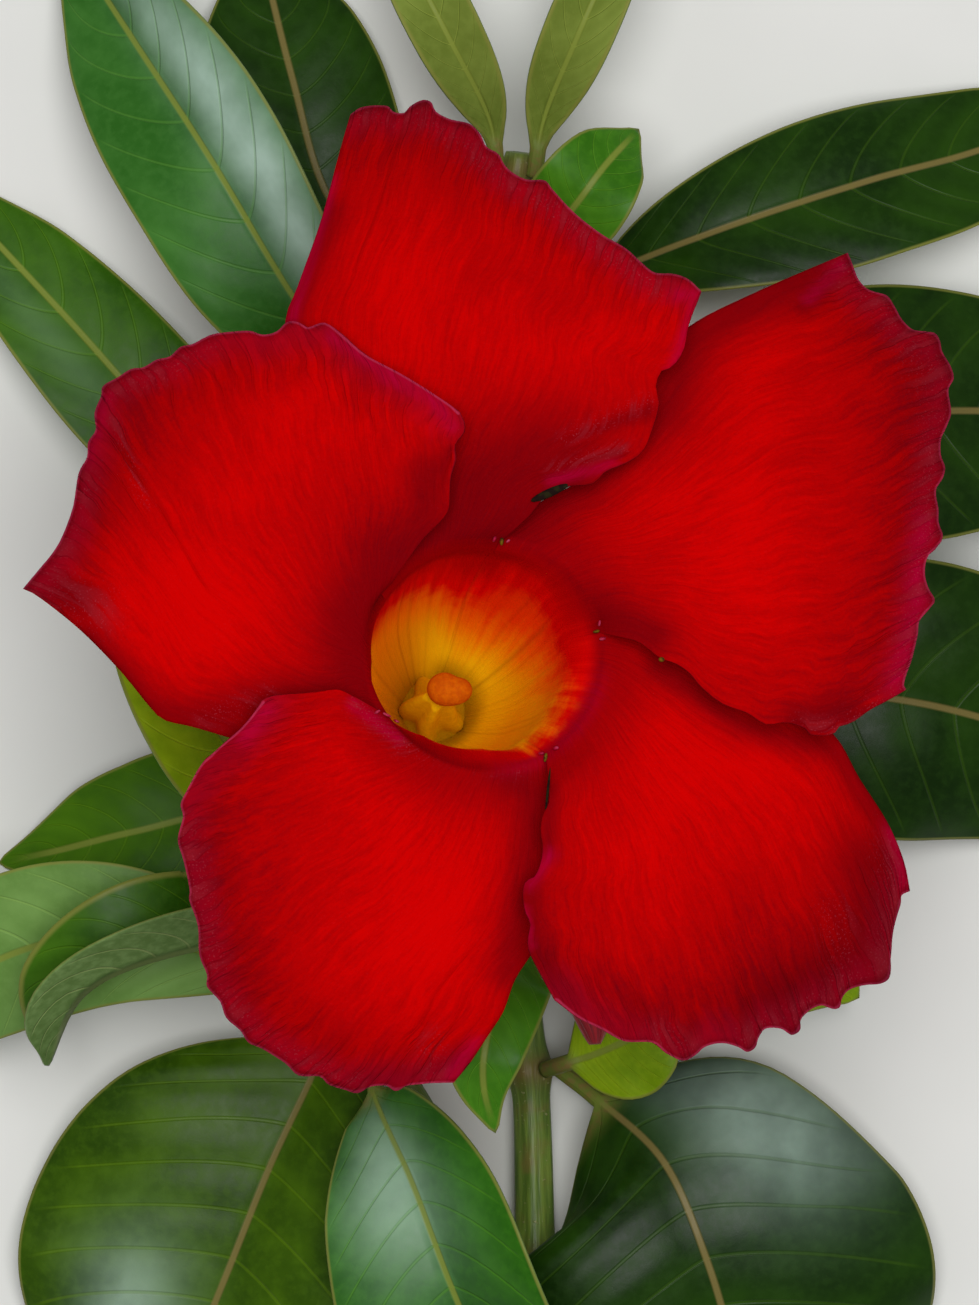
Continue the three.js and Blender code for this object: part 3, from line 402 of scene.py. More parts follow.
def loft(rings):
    """Points and faces of a closed body through rings (ring, side, xyz), with a point at each end."""
    count, sides = rings.shape[:2]
    numbers = np.arange(count * sides).reshape(count, sides)
    closed = np.hstack([numbers, numbers[:, :1]])
    points = np.vstack([rings.reshape(-1, 3), rings[0].mean(axis=0), rings[-1].mean(axis=0)])
    start, end = count * sides, count * sides + 1
    ends = [(start, closed[0, i + 1], closed[0, i], closed[0, i]) for i in range(sides)]
    ends += [(end, closed[-1, i], closed[-1, i + 1], closed[-1, i + 1]) for i in range(sides)]
    return points, np.vstack([quads(closed), ends])


def tube(curve, steps, sides, radius):
    """Rings square to a curve, and the share along it and angle of each point."""
    share = np.linspace(0, 1, steps + 1)
    centres = curve.along(share)
    ahead = curve.direction(share)
    across = np.zeros_like(centres)
    across[0] = unit(np.cross(ahead[0], UP))
    for i in range(1, steps + 1):
        across[i] = unit(across[i - 1] - ahead[i] * (across[i - 1] @ ahead[i]))
    up = np.cross(ahead, across)
    share, angle = np.broadcast_arrays(share[:, None], around(sides))
    reach = radius(share, centres[:, None], angle)[..., None]
    way = across[:, None] * np.cos(angle)[..., None] + up[:, None] * np.sin(angle)[..., None]
    return centres[:, None] + reach * way, share, angle


def loft_marks(*grids):
    """Values for the points of a loft, with the end points taken from the first and last ring."""
    return [np.concatenate([grid.ravel(), [grid[0].mean(), grid[-1].mean()]]) for grid in grids]


# ---- Materials ----
def srgb(red, green, blue):
    """A colour given in display values 0 to 255, as linear light."""
    display = np.array([red, green, blue]) / 255
    linear = np.where(display <= 0.04045, display / 12.92, ((display + 0.055) / 1.055) ** 2.4)
    return (*linear.tolist(), 1.0)


class Signal:
    """What one socket of a material gives, to be reckoned with or painted over."""

    def __init__(self, look, socket):
        self.look = look
        self.socket = socket

    def maths(self, operation, other=0.0):
        return self.look.node("ShaderNodeMath", {0: self, 1: other}, operation=operation)

    def __add__(self, other):
        return self.maths("ADD", other)

    def __sub__(self, other):
        return self.maths("SUBTRACT", other)

    def __mul__(self, other):
        return self.maths("MULTIPLY", other)

    def __abs__(self):
        return self.maths("ABSOLUTE")

    def centred(self, width):
        return (self - 0.5) * width

    def ramp(self, low, high, at_low=0.0, at_high=1.0):
        inputs = {"Value": self, "From Min": low, "From Max": high, "To Min": at_low, "To Max": at_high}
        return self.look.node("ShaderNodeMapRange", inputs, interpolation_type="SMOOTHSTEP")

    def coat(self, colour, cover):
        """This colour with another laid over it, as far as cover says."""
        return self.look.mix(self, colour, cover)


class Finish:
    """One material, built round its Principled shader."""

    def __init__(self, name, **settings):
        self.material = bpy.data.materials.new(name)
        self.material.use_nodes = True
        self.tree = self.material.node_tree
        self.shader = self.tree.nodes["Principled BSDF"]
        self.place = self.node("ShaderNodeTexCoord", output="Object")
        for socket, setting in settings.items():
            self.shader.inputs[socket.replace("_", " ")].default_value = setting

    def node(self, kind, inputs=(), output=0, **settings):
        node = self.tree.nodes.new(kind)
        for key, setting in settings.items():
            setattr(node, key, setting)
        for socket, given in dict(inputs).items():
            if isinstance(given, Signal):
                self.tree.links.new(given.socket, node.inputs[socket])
            else:
                node.inputs[socket].default_value = given
        return Signal(self, node.outputs[output])

    def mark(self, name):
        return self.node("ShaderNodeAttribute", output="Fac", attribute_name=name)

    def marks(self, names):
        return [self.mark(name) for name in names.split()]

    def vector(self, x=0.0, y=0.0, z=0.0):
        return self.node("ShaderNodeCombineXYZ", {0: x, 1: y, 2: z})

    def noise(self, scale, detail=2.0, roughness=0.5, place=None):
        inputs = {"Vector": place or self.place, "Scale": scale, "Detail": detail, "Roughness": roughness}
        return self.node("ShaderNodeTexNoise", inputs, output="Fac")

    def mix(self, first, second, factor):
        first, second = (given if isinstance(given, Signal) else srgb(*given) for given in (first, second))
        inputs = {0: factor, 6: first, 7: second}
        return self.node("ShaderNodeMix", inputs, output=2, data_type="RGBA")

    def link(self, name, signal):
        self.tree.links.new(signal.socket, self.shader.inputs[name])

    def bump(self, height, distance, strength=0.6):
        inputs = {"Height": height, "Distance": distance, "Strength": strength}
        self.link("Normal", self.node("ShaderNodeBump", inputs, output="Normal"))


def dress(obj, finish, node):
    obj.data.materials.append(finish.material)
    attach(obj, "root")
    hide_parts(node)


# ---- Petals: velvety red with fanning nerves, crimson margins and a yellow throat ----
def petal_finish():
    look = Finish(
        "petal", Roughness=0.75, Specular_IOR_Level=0.004, Sheen_Weight=0.025, Sheen_Roughness=0.4
    )
    look.shader.inputs["Sheen Tint"].default_value = srgb(190, 40, 70)
    patches = look.noise(120.0, 3)
    swerve = look.mark("u") + patches * 0.06
    lobe_offset = look.mark("lobe") * 7.3
    v = look.mark("v")

    def grain(across, along):
        return look.noise(1.0, 3, 0.6, look.vector(swerve * across, v * along, lobe_offset))

    fine, streak, crease = grain(120, 16), grain(64, 6), grain(46, 3.2)
    fuzz = look.noise(2400.0, 2, 0.7)
    furrow = crease.ramp(0.45, 0.58) * look.mark("edge").ramp(9.0, 1.0)
    face = lobe_red(look, patches, fine, streak, crease, fuzz, furrow)
    depth = look.mark("depth")
    face = face.coat(throat_colour(look, patches, depth), depth.ramp(0.0, 1.5))
    # painted sheen: magenta along the near lip, where the petal turns into the throat
    face = face.coat((170, 2, 40), look.mark("lip") * streak.ramp(0.3, 0.7, 0.25, 0.6))

    # the outside is paler, the tube yellow-green
    outside = look.mix((150, 16, 30), (168, 120, 46), depth.ramp(8.0, 34.0))
    outside = outside.coat((120, 10, 30), streak.ramp(0.4, 0.65, 0.0, 0.35))
    look.link("Base Color", face.coat(outside, look.mark("underside")))
    look.bump(streak * 0.8 + fuzz * 0.3 + furrow * -0.8, 0.0003)
    return look


def lobe_red(look, patches, fine, streak, crease, fuzz, furrow):
    """Brightest about each lobe's glow, and more crimson the farther from it; the brightness is partly the
    lobe's own red and partly painted light.
    """
    edge, dust = look.marks("edge dust")
    tone = look.mark("glow") + fine.centred(14.0) + streak.centred(18.0)
    tone = tone + patches.centred(8.0) + fuzz.centred(9.0)
    red = look.mix((203, 1, 1), (170, 1, 3), tone.ramp(-3.0, 14.0))
    red = red.coat((144, 1, 7), tone.ramp(11.0, 21.0))
    red = red.coat((112, 3, 16), tone.ramp(18.0, 29.0))
    red = red.coat((104, 1, 9), look.mark("shade") * 0.7)
    # painted shade in the furrows that run the last few millimetres in from the margin
    red = red.coat((104, 2, 14), furrow * 0.36)
    red = red.coat((140, 6, 30), (edge + crease.centred(4.0)).ramp(4.2, 0.2, 0.0, 0.6))
    # darkest where it turns into the throat: a deeper crimson there, with painted shade over it
    near = look.mark("reach") + patches.centred(5.0)
    red = red.coat((124, 1, 8), near.ramp(7.0, 0.5, 0.0, 0.5))
    # painted sheen: purple along each lobe's sheen lines, where its surface turns away
    red = red.coat((176, 2, 54), look.mark("blush_and_sheen") * streak.ramp(0.35, 0.65, 0.3, 0.6))
    # worn and hairy places, the pale hair specks painted as glints of light, and painted glints along the
    # margin
    red = red.coat((140, 38, 50), crease.ramp(0.5, 0.6) * dust * 0.3)
    hair_glints = look.noise(5600.0, 1).ramp(0.6, 0.74) * (dust + 0.08)
    red = red.coat((164, 56, 70), hair_glints * 0.4)
    red = red.coat((160, 30, 54), fuzz.ramp(0.64, 0.8, 0.0, 0.4) * edge.ramp(6.0, 0.5, 0.02, 0.7))
    return red.coat((176, 44, 76), edge.ramp(0.26, 0.08, 0.0, 0.9))


def throat_colour(look, patches, depth):
    """Red, orange and yellow, ragged where they meet, with thin dark nerves."""
    warm, gold, east, north = look.marks("warm gold east north")
    ray = look.noise(1.0, 3, 0.6, look.vector(east * 8, north * 8, depth * 0.09))
    lower = (east - north).ramp(0.4, 1.2)
    right, left = east.ramp(0.5, 1.0), east.ramp(0.0, -0.8)
    mottle = look.noise(700.0, 3, 0.6).centred(4.0)

    # painted light and shade: the red is made lighter deeper in the bell and darker just inside the rim,
    # this painted shade least on the lower side
    red = look.mix((226, 2, 2), (248, 12, 3), ray.ramp(0.35, 0.7))
    lit = warm + ray.centred(5.0) + patches.centred(8.0)
    red = look.mix((190, 1, 6), red, lit.ramp(-13.0, -2.0))
    red = red.coat((150, 1, 5), depth.ramp(5.0, 1.0, 0.0, 0.75) * lower.ramp(0.0, 1.0, 1.0, 0.2))

    # the amber and orange shift in hue round the wall; their lightness on the right and lower walls is
    # painted light
    amber = look.mix((252, 134, 4), (255, 150, 4), right)
    amber = amber.coat((255, 172, 5), lower)
    orange = look.mix((240, 54, 2), (255, 74, 3), right)
    orange = orange.coat(amber, (gold + ray.centred(9.0) + mottle).ramp(-12.0, 0.5))
    orange = red.coat(orange, (warm + ray.centred(6.0) + mottle).ramp(-2.5, 3.5))

    # the yellow shifts in hue round the wall; it is made lighter deep down except on the left, on the lower
    # wall and high on the left wall: painted light against the shade inside the bell
    yellow = look.mix((238, 170, 4), (255, 166, 5), left)
    yellow = yellow.coat(look.mix((252, 206, 12), (216, 142, 8), left), depth.ramp(14.0, 30.0))
    yellow = yellow.coat((255, 198, 6), left * (depth.ramp(26.0, 14.0) * north.ramp(0.42, 0.15)))
    yellow = yellow.coat((255, 196, 4), lower * 0.8)
    # painted shadow of the anther cone, on the wall to the right of its foot
    yellow = yellow.coat((110, 50, 2), depth.ramp(27.0, 31.0, 0.0, 0.55) * east.ramp(-0.3, 0.3))

    throat = orange.coat(yellow, (gold + ray.centred(6.0)).ramp(-4.5, 3.5))
    return throat.coat((132, 52, 4), look.mark("nerve") * depth.ramp(4.0, 12.0, 0.0, 0.3))


# ---- The corolla: five lobes on a bell and tube ----
def rim_place(lobe, share):
    """A point of the rim, a share of the way clockwise round a lobe's foot: angle and radius."""
    start, end = lobe["under"][0], lobe["over"][0]
    first = math.atan2(start[1], start[0])
    sweep = (first - math.atan2(end[1], end[0])) % TURN
    radius = math.hypot(*start) + (math.hypot(*end) - math.hypot(*start)) * share
    return first - sweep * share, radius


def distance_to(points, line):
    """How far each (x, y) lies from a polyline."""
    line = np.array(line, float)
    best = np.full(points.shape[:-1], np.inf)
    for a, b in zip(line[:-1], line[1:]):
        step = b - a
        t = np.clip(((points - a) @ step) / (step @ step), 0, 1)
        best = np.minimum(best, np.linalg.norm(points - a - t[..., None] * step, axis=-1))
    return best


def strokes(points, lines):
    """How much of the nearest of some soft lines, each after its width, covers each (x, y)."""
    return np.max([hump(distance_to(points, line), width) for width, *line in lines], axis=0)


def teeth(margin, rim):
    """How far each point of a margin stands out past its own average, away from the rim."""
    along = np.concatenate([[0], np.cumsum(np.linalg.norm(np.diff(margin, axis=0), axis=1))])
    weight = hump(along[:, None] - along[None], TOOTH_SPAN)
    average = (weight @ margin) / weight.sum(axis=1, keepdims=True)
    ends = smooth(0, TOOTH_SPAN, along) * smooth(0, TOOTH_SPAN, along[-1] - along)
    return np.sum((margin - average) * unit(margin - rim), axis=-1) * ends


def crimps_of(lobe):
    """Where a lobe's columns run: shares of the listed margin, and of its length."""
    crimps = len(lobe["margin"]) - 1
    t = np.linspace(0, crimps, crimps * COLUMNS_PER_TOOTH + 1) / crimps
    return t, Curve(lobe["margin"]).share_at(t)


def lobe_grid(lobe, rows):
    """The points of one lobe, and its marks: u runs from under to over edge, v from the rim out."""
    margin, under, over = Curve(lobe["margin"]), Curve(lobe["under"]), Curve(lobe["over"])
    t, u = crimps_of(lobe)
    edge_point = margin.at(t)[None]
    angle, radius = rim_place(lobe, u)
    rim = np.stack([radius * np.cos(angle), radius * np.sin(angle), 0 * angle], axis=-1)[None]
    u, v = np.broadcast_arrays(u[None, :], rows[:, None])

    def between_edges(share):
        first, last = under.along(share), over.along(share)
        return first + (last - first) * u[..., None]

    flat = between_edges(rows[:, None])
    flat = flat + (rim - between_edges(0)) * (1 - v)[..., None]
    flat = flat + (edge_point - between_edges(1)) * v[..., None]
    place = flat[..., :2]
    edge = distance_to(place, edge_point[0, :, :2])
    reach = np.linalg.norm(flat - rim, axis=-1)
    dish = reach * (LOBE_RISE - LOBE_ARCH * reach / LOBE_REACH)
    pinwheel = PINWHEEL * (1 - np.exp(-reach / PINWHEEL_START)) * (2 * u - 1)
    drape = lobe["drape"] * smooth(DRAPE_START, 1, u) * smooth(DRAPE_START, 1, v)
    roll = -MARGIN_ROLL * smooth(MARGIN_ROLL_START, 1, v) * np.sin(math.pi * u) ** 0.6
    curl = TOOTH_CURL * np.exp(-edge / TOOTH_CURL_REACH) + TOOTH_PLEAT * np.exp(-edge / TOOTH_PLEAT_REACH)
    crimping = teeth(edge_point[0], rim[0])[None] * curl
    nerves = ripple(u, v, (13, 17, 23, 31)) * NERVE_RELIEF * smooth(0.25, 0.9, v)
    swell = ripple(u, v, (2.3, 3.7, 5.1), 2.0) * SWELL_RELIEF * smooth(0.15, 0.8, v)
    swell = swell * np.sin(math.pi * u) ** 0.5
    folds = sum(height * hump(distance_to(place, line), width) for width, height, *line in lobe["folds"])
    x, y = flat[..., 0], flat[..., 1]
    z = RIM_HEIGHT + face_dip(x, y) + dish + pinwheel + drape + roll + crimping + nerves + swell + folds
    glow = np.min([distance_to(place, line) + away for away, *line in lobe["glow"]], axis=0)
    marks = {name: strokes(place, lobe[name]) for name in ("blush_and_sheen", "dust", "shade")}
    marks.update(u=u, v=v, reach=reach, edge=edge, glow=glow)
    return np.stack([x, y, z], axis=-1), marks


def depth_at(limits, angle):
    return np.interp(np.degrees(angle), list(limits), list(limits.values()), period=360)


def nerve_lines(angle, depth):
    """Thin dark nerves that run down the throat at uneven bearings."""
    lines = 0.0
    for i in range(NERVES):
        bearing = TURN * (i + RNG.uniform(-0.45, 0.45)) / NERVES
        strength = RNG.uniform(0.3, 1.0) ** 2
        away = half_turn(angle - bearing - 0.02 * np.sin(depth / 5 + i))
        lines = np.maximum(lines, strength * hump(away, RNG.uniform(0.018, 0.05)))
    return lines


def low_side(angle):
    """1 along the near lip of the bell, which shows its edge."""
    return smooth(0.72, 0.95, np.cos(angle - LIP_BEARING))


def bell(sheet):
    """Adds the bell and tube, and gives the closed row of points along its rim."""
    down = Curve(BELL).along(np.linspace(0, 1, BELL_ROWS + 1))
    depth, profile_radius = down[:, 0:1], down[:, 1:2]
    columns = []
    for number, lobe in enumerate(LOBES):
        u = crimps_of(lobe)[1][:-1]
        columns.append((*rim_place(lobe, u), u, np.full(len(u), number)))
    angle, rim_radius, u, owner = (np.concatenate(column)[None] for column in zip(*columns))
    roundness = np.minimum(depth / BELL_ROUND_FROM, 1)
    reach = profile_radius * (rim_radius / RIM_RADIUS * (1 - roundness) + roundness)
    reach = reach + depth_at(BELL_SWELL, angle) * smooth(0, 1.5, depth) * smooth(26, 10, depth)
    shift = np.array(BELL_SHIFT) * (smooth(0, 4, depth) * smooth(30, 14, depth))[..., None]
    crisp = depth_at(CRISP, angle)
    rings = sheet.add(
        in_flower(depth, reach, angle) + shift, BELL_HALF,
        u=u, lobe=owner, edge=20.0, glow=18.0, depth=depth,
        warm=(depth - depth_at(ORANGE_FROM, angle)) * crisp,
        gold=(depth - depth_at(YELLOW_FROM, angle)) * crisp,
        east=np.cos(angle), north=np.sin(angle), nerve=nerve_lines(angle, depth),
        lip=low_side(angle) * hump(depth - 0.3, 0.6),
    )
    closed = np.hstack([rings, rings[:, :1]])
    sheet.weave(closed)
    middle = in_flower(np.array([BELL_FOOT]), 0.0, 0.0)
    foot = sheet.add(middle, BELL_HALF, depth=BELL_FOOT, gold=20.0, warm=20.0)
    sheet.fan(closed[0][::-1], foot[0])
    return closed[-1]


def corolla():
    sheet = Sheet()
    rim = bell(sheet)
    start = 0
    rows = np.linspace(0, 1, LOBE_ROWS + 1)[1:] ** LOBE_ROW_CROWDING
    for number, lobe in enumerate(LOBES):
        points, marks = lobe_grid(lobe, rows)
        half = LOBE_HALF + (TIP_HALF - LOBE_HALF) * smooth(0.8, 1, marks["v"])
        half = half + RIM_THICKENING * np.exp(-marks["reach"] / 2.5)
        angle, _ = rim_place(lobe, marks["u"])
        lip = low_side(angle) * 0.7 * hump(marks["reach"], 0.8)
        numbers = sheet.add(points, half, lobe=number, east=np.cos(angle), north=np.sin(angle),
                            warm=-9.0, gold=-20.0, lip=lip, **marks)
        count = numbers.shape[1]
        sheet.weave(np.vstack([rim[start:start + count], numbers]))
        start += count - 1
    return sheet.body("flower_corolla")


# Pinkish bumps stand on either side of each notch between lobes, with an olive spot in some
# of them; the slits are dark beads laid as painted shade in the openings between lobes. Place,
# half length, half width and bearing.
NOTCH_BUMPS = [(1.2, 10.3, 0.3, 0.16, 60), (2.5, 10.1, 0.26, 0.14, 40), (11.3, 2.2, 0.3, 0.14, 80),
               (11.6, 0.7, 0.32, 0.16, 10), (5.7, -10.3, 0.28, 0.15, 0), (7.1, -9.8, 0.28, 0.18, 20),
               (-10, -6.3, 0.3, 0.14, 30), (-9.1, -6.6, 0.45, 0.14, -25), (-8.2, -7.2, 0.3, 0.13, -25)]
NOTCH_SPOTS = [(1.9, 10.1, 0.42, 0.2, 85), (11, 1.4, 0.34, 0.16, 15), (6.1, -10.7, 0.45, 0.18, 80),
               (17.2, -1.3, 0.3, 0.24, 0)]
SLITS = [(6.3, -13.8, 2.2, 0.13, 84), (6.5, 14.7, 2, 0.42, 24)]
BEAD_HALF_HEIGHT = 0.35


def ball(slices, sides):
    """The angles down and round the rings of a ball."""
    return (math.pi * np.arange(1, slices) / slices)[:, None], around(sides)[None]


def set_down(centre, along, across, up, bearing):
    """Points about a centre, by how far they lie along a bearing in degrees, across it and up."""
    cos, sin = math.cos(math.radians(bearing)), math.sin(math.radians(bearing))
    parts = np.broadcast_arrays(along * cos - across * sin, along * sin + across * cos, up)
    return np.stack(parts, axis=-1) + centre


def notch_beads(name, beads, flower):
    """Small soft lumps set in the petals, all in one mesh."""
    points, faces, first = [], [], 0
    lift, turn = ball(10, 14)
    for (x, y, long, short, bearing), height in zip(beads, heights_on(flower, beads)):
        along, across = long * np.cos(turn) * np.sin(lift), short * np.sin(turn) * np.sin(lift)
        up = -BEAD_HALF_HEIGHT * np.cos(lift)
        body_points, body_faces = loft(set_down((x, y, height), along, across, up, bearing))
        points.append(body_points)
        faces.append(body_faces + first)
        first += len(body_points)
    return make_object(name, np.vstack(points), np.vstack(faces))


def heights_on(obj, beads):
    """The height of the object's upper side under each bead."""
    corners = np.empty(3 * len(obj.data.vertices), np.float32)
    obj.data.vertices.foreach_get("co", corners)
    corners = (corners.reshape(-1, 3) - SHIFT) / MM
    away = [np.hypot(corners[:, 0] - bead[0], corners[:, 1] - bead[1]) for bead in beads]
    return [corners[distance < distance.min() + 0.3, 2].max() for distance in away]


def bead_finish(name, light, dark, roughness):
    look = Finish(name, Roughness=roughness, Specular_IOR_Level=0.1)
    look.link("Base Color", look.mix(light, dark, look.noise(1600.0).ramp(0.4, 0.6)))
    return look


# ---- Anther cone and its head ----
def throat_part_finish(name, light, shade, low, roughness):
    look = Finish(name, Roughness=roughness, Specular_IOR_Level=0.06)
    colour = look.mix(shade, light, look.noise(1400.0, 3, 0.6).ramp(0.35, 0.7))
    look.link("Base Color", colour.coat(low, look.mark("low").ramp(0.0, 1.0)))
    look.bump(look.noise(5200.0), 0.00008)
    return look


def anther_cone():
    down = Curve(CONE_PROFILE).along(np.linspace(0, 1, CONE_ROWS))
    depth, radius = down[:, 0:1], down[:, 1:2]
    angle = around(CONE_RIDGES * 12)[None]
    ridges = np.cos(CONE_RIDGES * (angle - CONE_TURN))
    rings = in_flower(depth, radius * (1 + CONE_RIDGE_DEPTH * smooth(31.4, 30.2, depth) * ridges), angle)
    rings = rings + np.array(CONE_SHIFT) * smooth(32, 27, depth)[..., None]
    # painted shade: darker and duller between the ridges near the foot
    (low,) = loft_marks(smooth(28, 32, depth) * smooth(0.5, -0.8, ridges))
    return make_object("flower_anther_cone", *loft(rings), dict(low=low))


def anther_head():
    """Two soft lobes, the left one the larger, with a notch between them on the upper side."""
    lift, angle = ball(28, 48)
    waist = 1 - 0.16 * hump(half_turn(angle - 1.25), 0.38) - 0.05 * hump(half_turn(angle + 1.35), 0.4)
    fullness = 1 - 0.07 * np.cos(angle)
    along = HEAD["long"] * np.cos(angle) * np.sin(lift) * waist
    across = HEAD["short"] * np.sin(angle) * np.sin(lift) * waist * fullness
    seam = 0.16 * hump(along - 0.55, 0.3) * smooth(0.2, 1, -np.cos(lift))
    centre = in_flower(HEAD_DEPTH, 0.0, 0.0)
    rings = set_down(centre, along, across, -HEAD["half"] * np.cos(lift) - seam, HEAD["bearing"])
    points, faces = loft(rings)
    return make_object("flower_anther_head", points, faces, dict(low=np.zeros(len(points))))


# ---- Leaves: glossy blades on stalks, folded along a pale midrib ----
MAIN_STEM = dict(
    route=[(6.5, -90, 2.3), (5.6, -70, 2.5), (5, -45, 2.7), (2.2, -22, 3.6), (-0.5, -2, 4.4), (0, 18, 4.8),
           (2, 34, 5.4), (3.9, 51, 8)],
    radii=(2.2, 1.3),
    joints=(-64, -44, -28, -2, 18, 34, 49),
)
SIDE_SHOOT = dict(
    route=[(2.4, -62.6, 4.4), (-0.6, -57, 5.2), (-4.5, -50.5, 5.8), (-8.5, -44, 6), (-12, -38, 6.2),
           (-14, -33.5, 7)],
    radii=(1.35, 1),
    joints=(-42, -34.5),
)
# The stem each leaf grows from and where along it, its stalk, width, roll, fold and droop,
# which green it is, and the middle line of its blade.
LEAVES = {
    "upper_left": (MAIN_STEM, 18, 11, 19, 24, 22, 0.1, "sheen",
        [(-11, 25, 9), (-19, 35.5, 15), (-27.6, 49.8, 16), (-35.6, 62.2, 10), (-44.5, 76, -0.4)]),
    "high_left": (MAIN_STEM, 34, 7, 20, -10, 10, 0.2, "deep",
        [(-7, 37, 6), (-15.7, 46, 6), (-19.8, 59, 4.5), (-24, 76, -0.4)]),
    "high_right": (MAIN_STEM, 34, 9, 17, 18, 12, 0.2, "deep",
        [(12, 38, 8), (25, 43, 11), (40, 48, 9), (51.9, 51.5, 5), (68, 58, -0.4)]),
    "right": (MAIN_STEM, 18, 12, 27, 8, 14, 0.25, "deep",
        [(14, 19, 9), (28, 22, 14), (44, 24, 12), (58, 24, 6), (71, 22, -0.4)]),
    "left": (MAIN_STEM, -2, 13, 15, -12, 12, 0.15, "mid",
        [(-12, 5, 4.6), (-22, 13, 5.4), (-33.1, 23, 5.6), (-43.6, 34.5, 4), (-60, 52, -0.4)]),
    "mid_right": (MAIN_STEM, -2, 13, 29, -6, 12, 0.3, "deep",
        [(14, -3, 7), (30, -4, 12), (46, -6, 11), (60, -10, 5), (74, -15, -0.4)]),
    "dull_left": (MAIN_STEM, -28, 13, 15, -8, 10, 0.2, "dull",
        [(-12, -21, 4), (-24, -17, 5.6), (-36, -19.2, 5.6), (-44, -21.2, 3.4), (-50.5, -22.6, -0.4)]),
    "low_right": (MAIN_STEM, -28, 9, 20, 6, 16, 0.2, "lime",
        [(12, -26, 5), (21, -27, 7.5), (31, -31, 8.5), (39, -36.4, 6)]),
    "lower_right": (MAIN_STEM, -44, 6, 46, 6, 10, 0.32, "deep",
        [(12, -47, 6), (18.6, -53, 11), (23, -63, 12), (26.5, -75, 8), (32, -96, -0.4)]),
    "lower_left": (SIDE_SHOOT, -34.5, 5, 44, -14, 20, 0.22, "olive",
        [(-16.8, -42.5, 7), (-22, -54, 7.5), (-27.8, -68.4, 6), (-37, -90, -0.4)]),
    "bottom": (SIDE_SHOOT, -42, 6, 23, -26, 26, 0.12, "bright",
        [(-10.8, -46.2, 13.6), (-7, -54.5, 19), (-3, -65, 20), (1.5, -76, 15.5), (5.5, -88, 8.5)]),
    "folded": (SIDE_SHOOT, -34.5, 9, 7.8, -58, 62, 0.1, "mid",
        [(-22, -29, 19), (-29, -30.4, 23), (-35.3, -32.2, 24.5), (-39.5, -34.4, 23.5), (-42, -37.3, 20.5),
        (-44.5, -43, 14)]),
    "pale_left": (SIDE_SHOOT, -39, 12, 16, 10, 10, 0.2, "pale",
        [(-24, -33, 14), (-36, -29.5, 16.5), (-47, -31, 15), (-57.5, -37, 9), (-67, -47, -0.4)]),
    "young_left": (SIDE_SHOOT, -33.6, 12, 15, -18, 20, 0.1, "lime",
        [(-15.5, -25.5, 17), (-20, -17, 24), (-27, -8, 28), (-32.6, 2, 28), (-35.5, 12, 25)]),
    "pointed": (MAIN_STEM, -37, 20, 9.5, 6, 14, 0.1, "fresh",
        [(5.4, -33, 16), (4.8, -30.5, 28), (2.4, -32.5, 36), (0.4, -39, 39), (0.1, -43.6, 38.5),
        (1.3, -48.4, 36)]),
    "axil": (MAIN_STEM, -44, 5, 12, 0, 8, 0.1, "lime",
        [(8.6, -43, 9), (12, -41.8, 10.6), (16, -39.8, 12.6), (20.5, -37, 14)]),
    "small_top": (MAIN_STEM, 38, 5, 10, 0, 16, 0.1, "fresh",
        [(6, 41, 14), (9.5, 45, 18), (12.5, 49, 18), (16, 53, 14)]),
    "tip_left": (MAIN_STEM, 49, 3, 7, 0, 32, 0, "tip",
        [(0.6, 54.5, 11), (-3.6, 62.5, 16), (-7.4, 70, 16), (-11.5, 80, 11)]),
    "tip_right": (MAIN_STEM, 49, 3, 7, 0, 32, 0, "tip",
        [(6.4, 54.5, 11), (9.8, 62.5, 16), (13, 70, 16), (16.5, 80, 11)]),
}
# where a painted sheen of reflected light lies on a blade: middle along and across it, half length, half
# width, strength
SHEENS = {
    "upper_left": (0.42, 0.55, 0.4, 0.38, 1.0),
    "lower_left": (0.66, 0.38, 0.15, 0.22, 0.6),
    "bottom": (0.2, 0.2, 0.2, 0.55, 0.55),
    "lower_right": (0.2, -0.66, 0.13, 0.36, 0.6),
    "left": (0.5, -0.4, 0.4, 0.3, 0.1),
}
NO_SHEEN = (0, 0, 1, 1, 0)
# dark and light green of each kind of leaf, in display values, and its roughness
GREENS = {
    "deep": ((14, 38, 2), (34, 66, 6), 0.3),
    "olive": ((36, 64, 1), (70, 104, 4), 0.32),
    "mid": ((36, 76, 4), (64, 108, 14), 0.36),
    "dull": ((48, 90, 2), (72, 116, 4), 0.6),
    "bright": ((30, 84, 4), (60, 122, 16), 0.34),
    "pale": ((92, 130, 56), (118, 156, 80), 0.45),
    "sheen": ((38, 92, 22), (66, 120, 46), 0.34),
    "fresh": ((46, 100, 10), (78, 138, 24), 0.38),
    "lime": ((106, 140, 8), (148, 176, 20), 0.42),
    "tip": ((102, 118, 42), (130, 146, 62), 0.5),
}
BLADE_HALF = 0.22
STALK_HALF = 0.85
STALK_ROWS = 9
ROW_STEP = 0.85
MIDRIB_DEPTH = 0.55
BLADE = dict(base=0.9, fullness=0.72, tip_from=0.72, tip_draw=0.4, least_half=0.12)
BLADE_START = 0.05                     # share of the blade over which the stalk widens into it
EDGE_THINNING = 0.45
PUFF = 0.006                           # relief between side veins and at the margin, as shares of
SWAY = 0.022                           # the blade's width
COLUMN_SPREAD = math.pi / 2 * 0.92     # columns stand closer towards the margins
VEINS = 11
VEIN_SWEEP = 0.17
VEIN_BEND = 1.45
JOINT_SWELL = 0.55
SIDE_GAP = 0.72


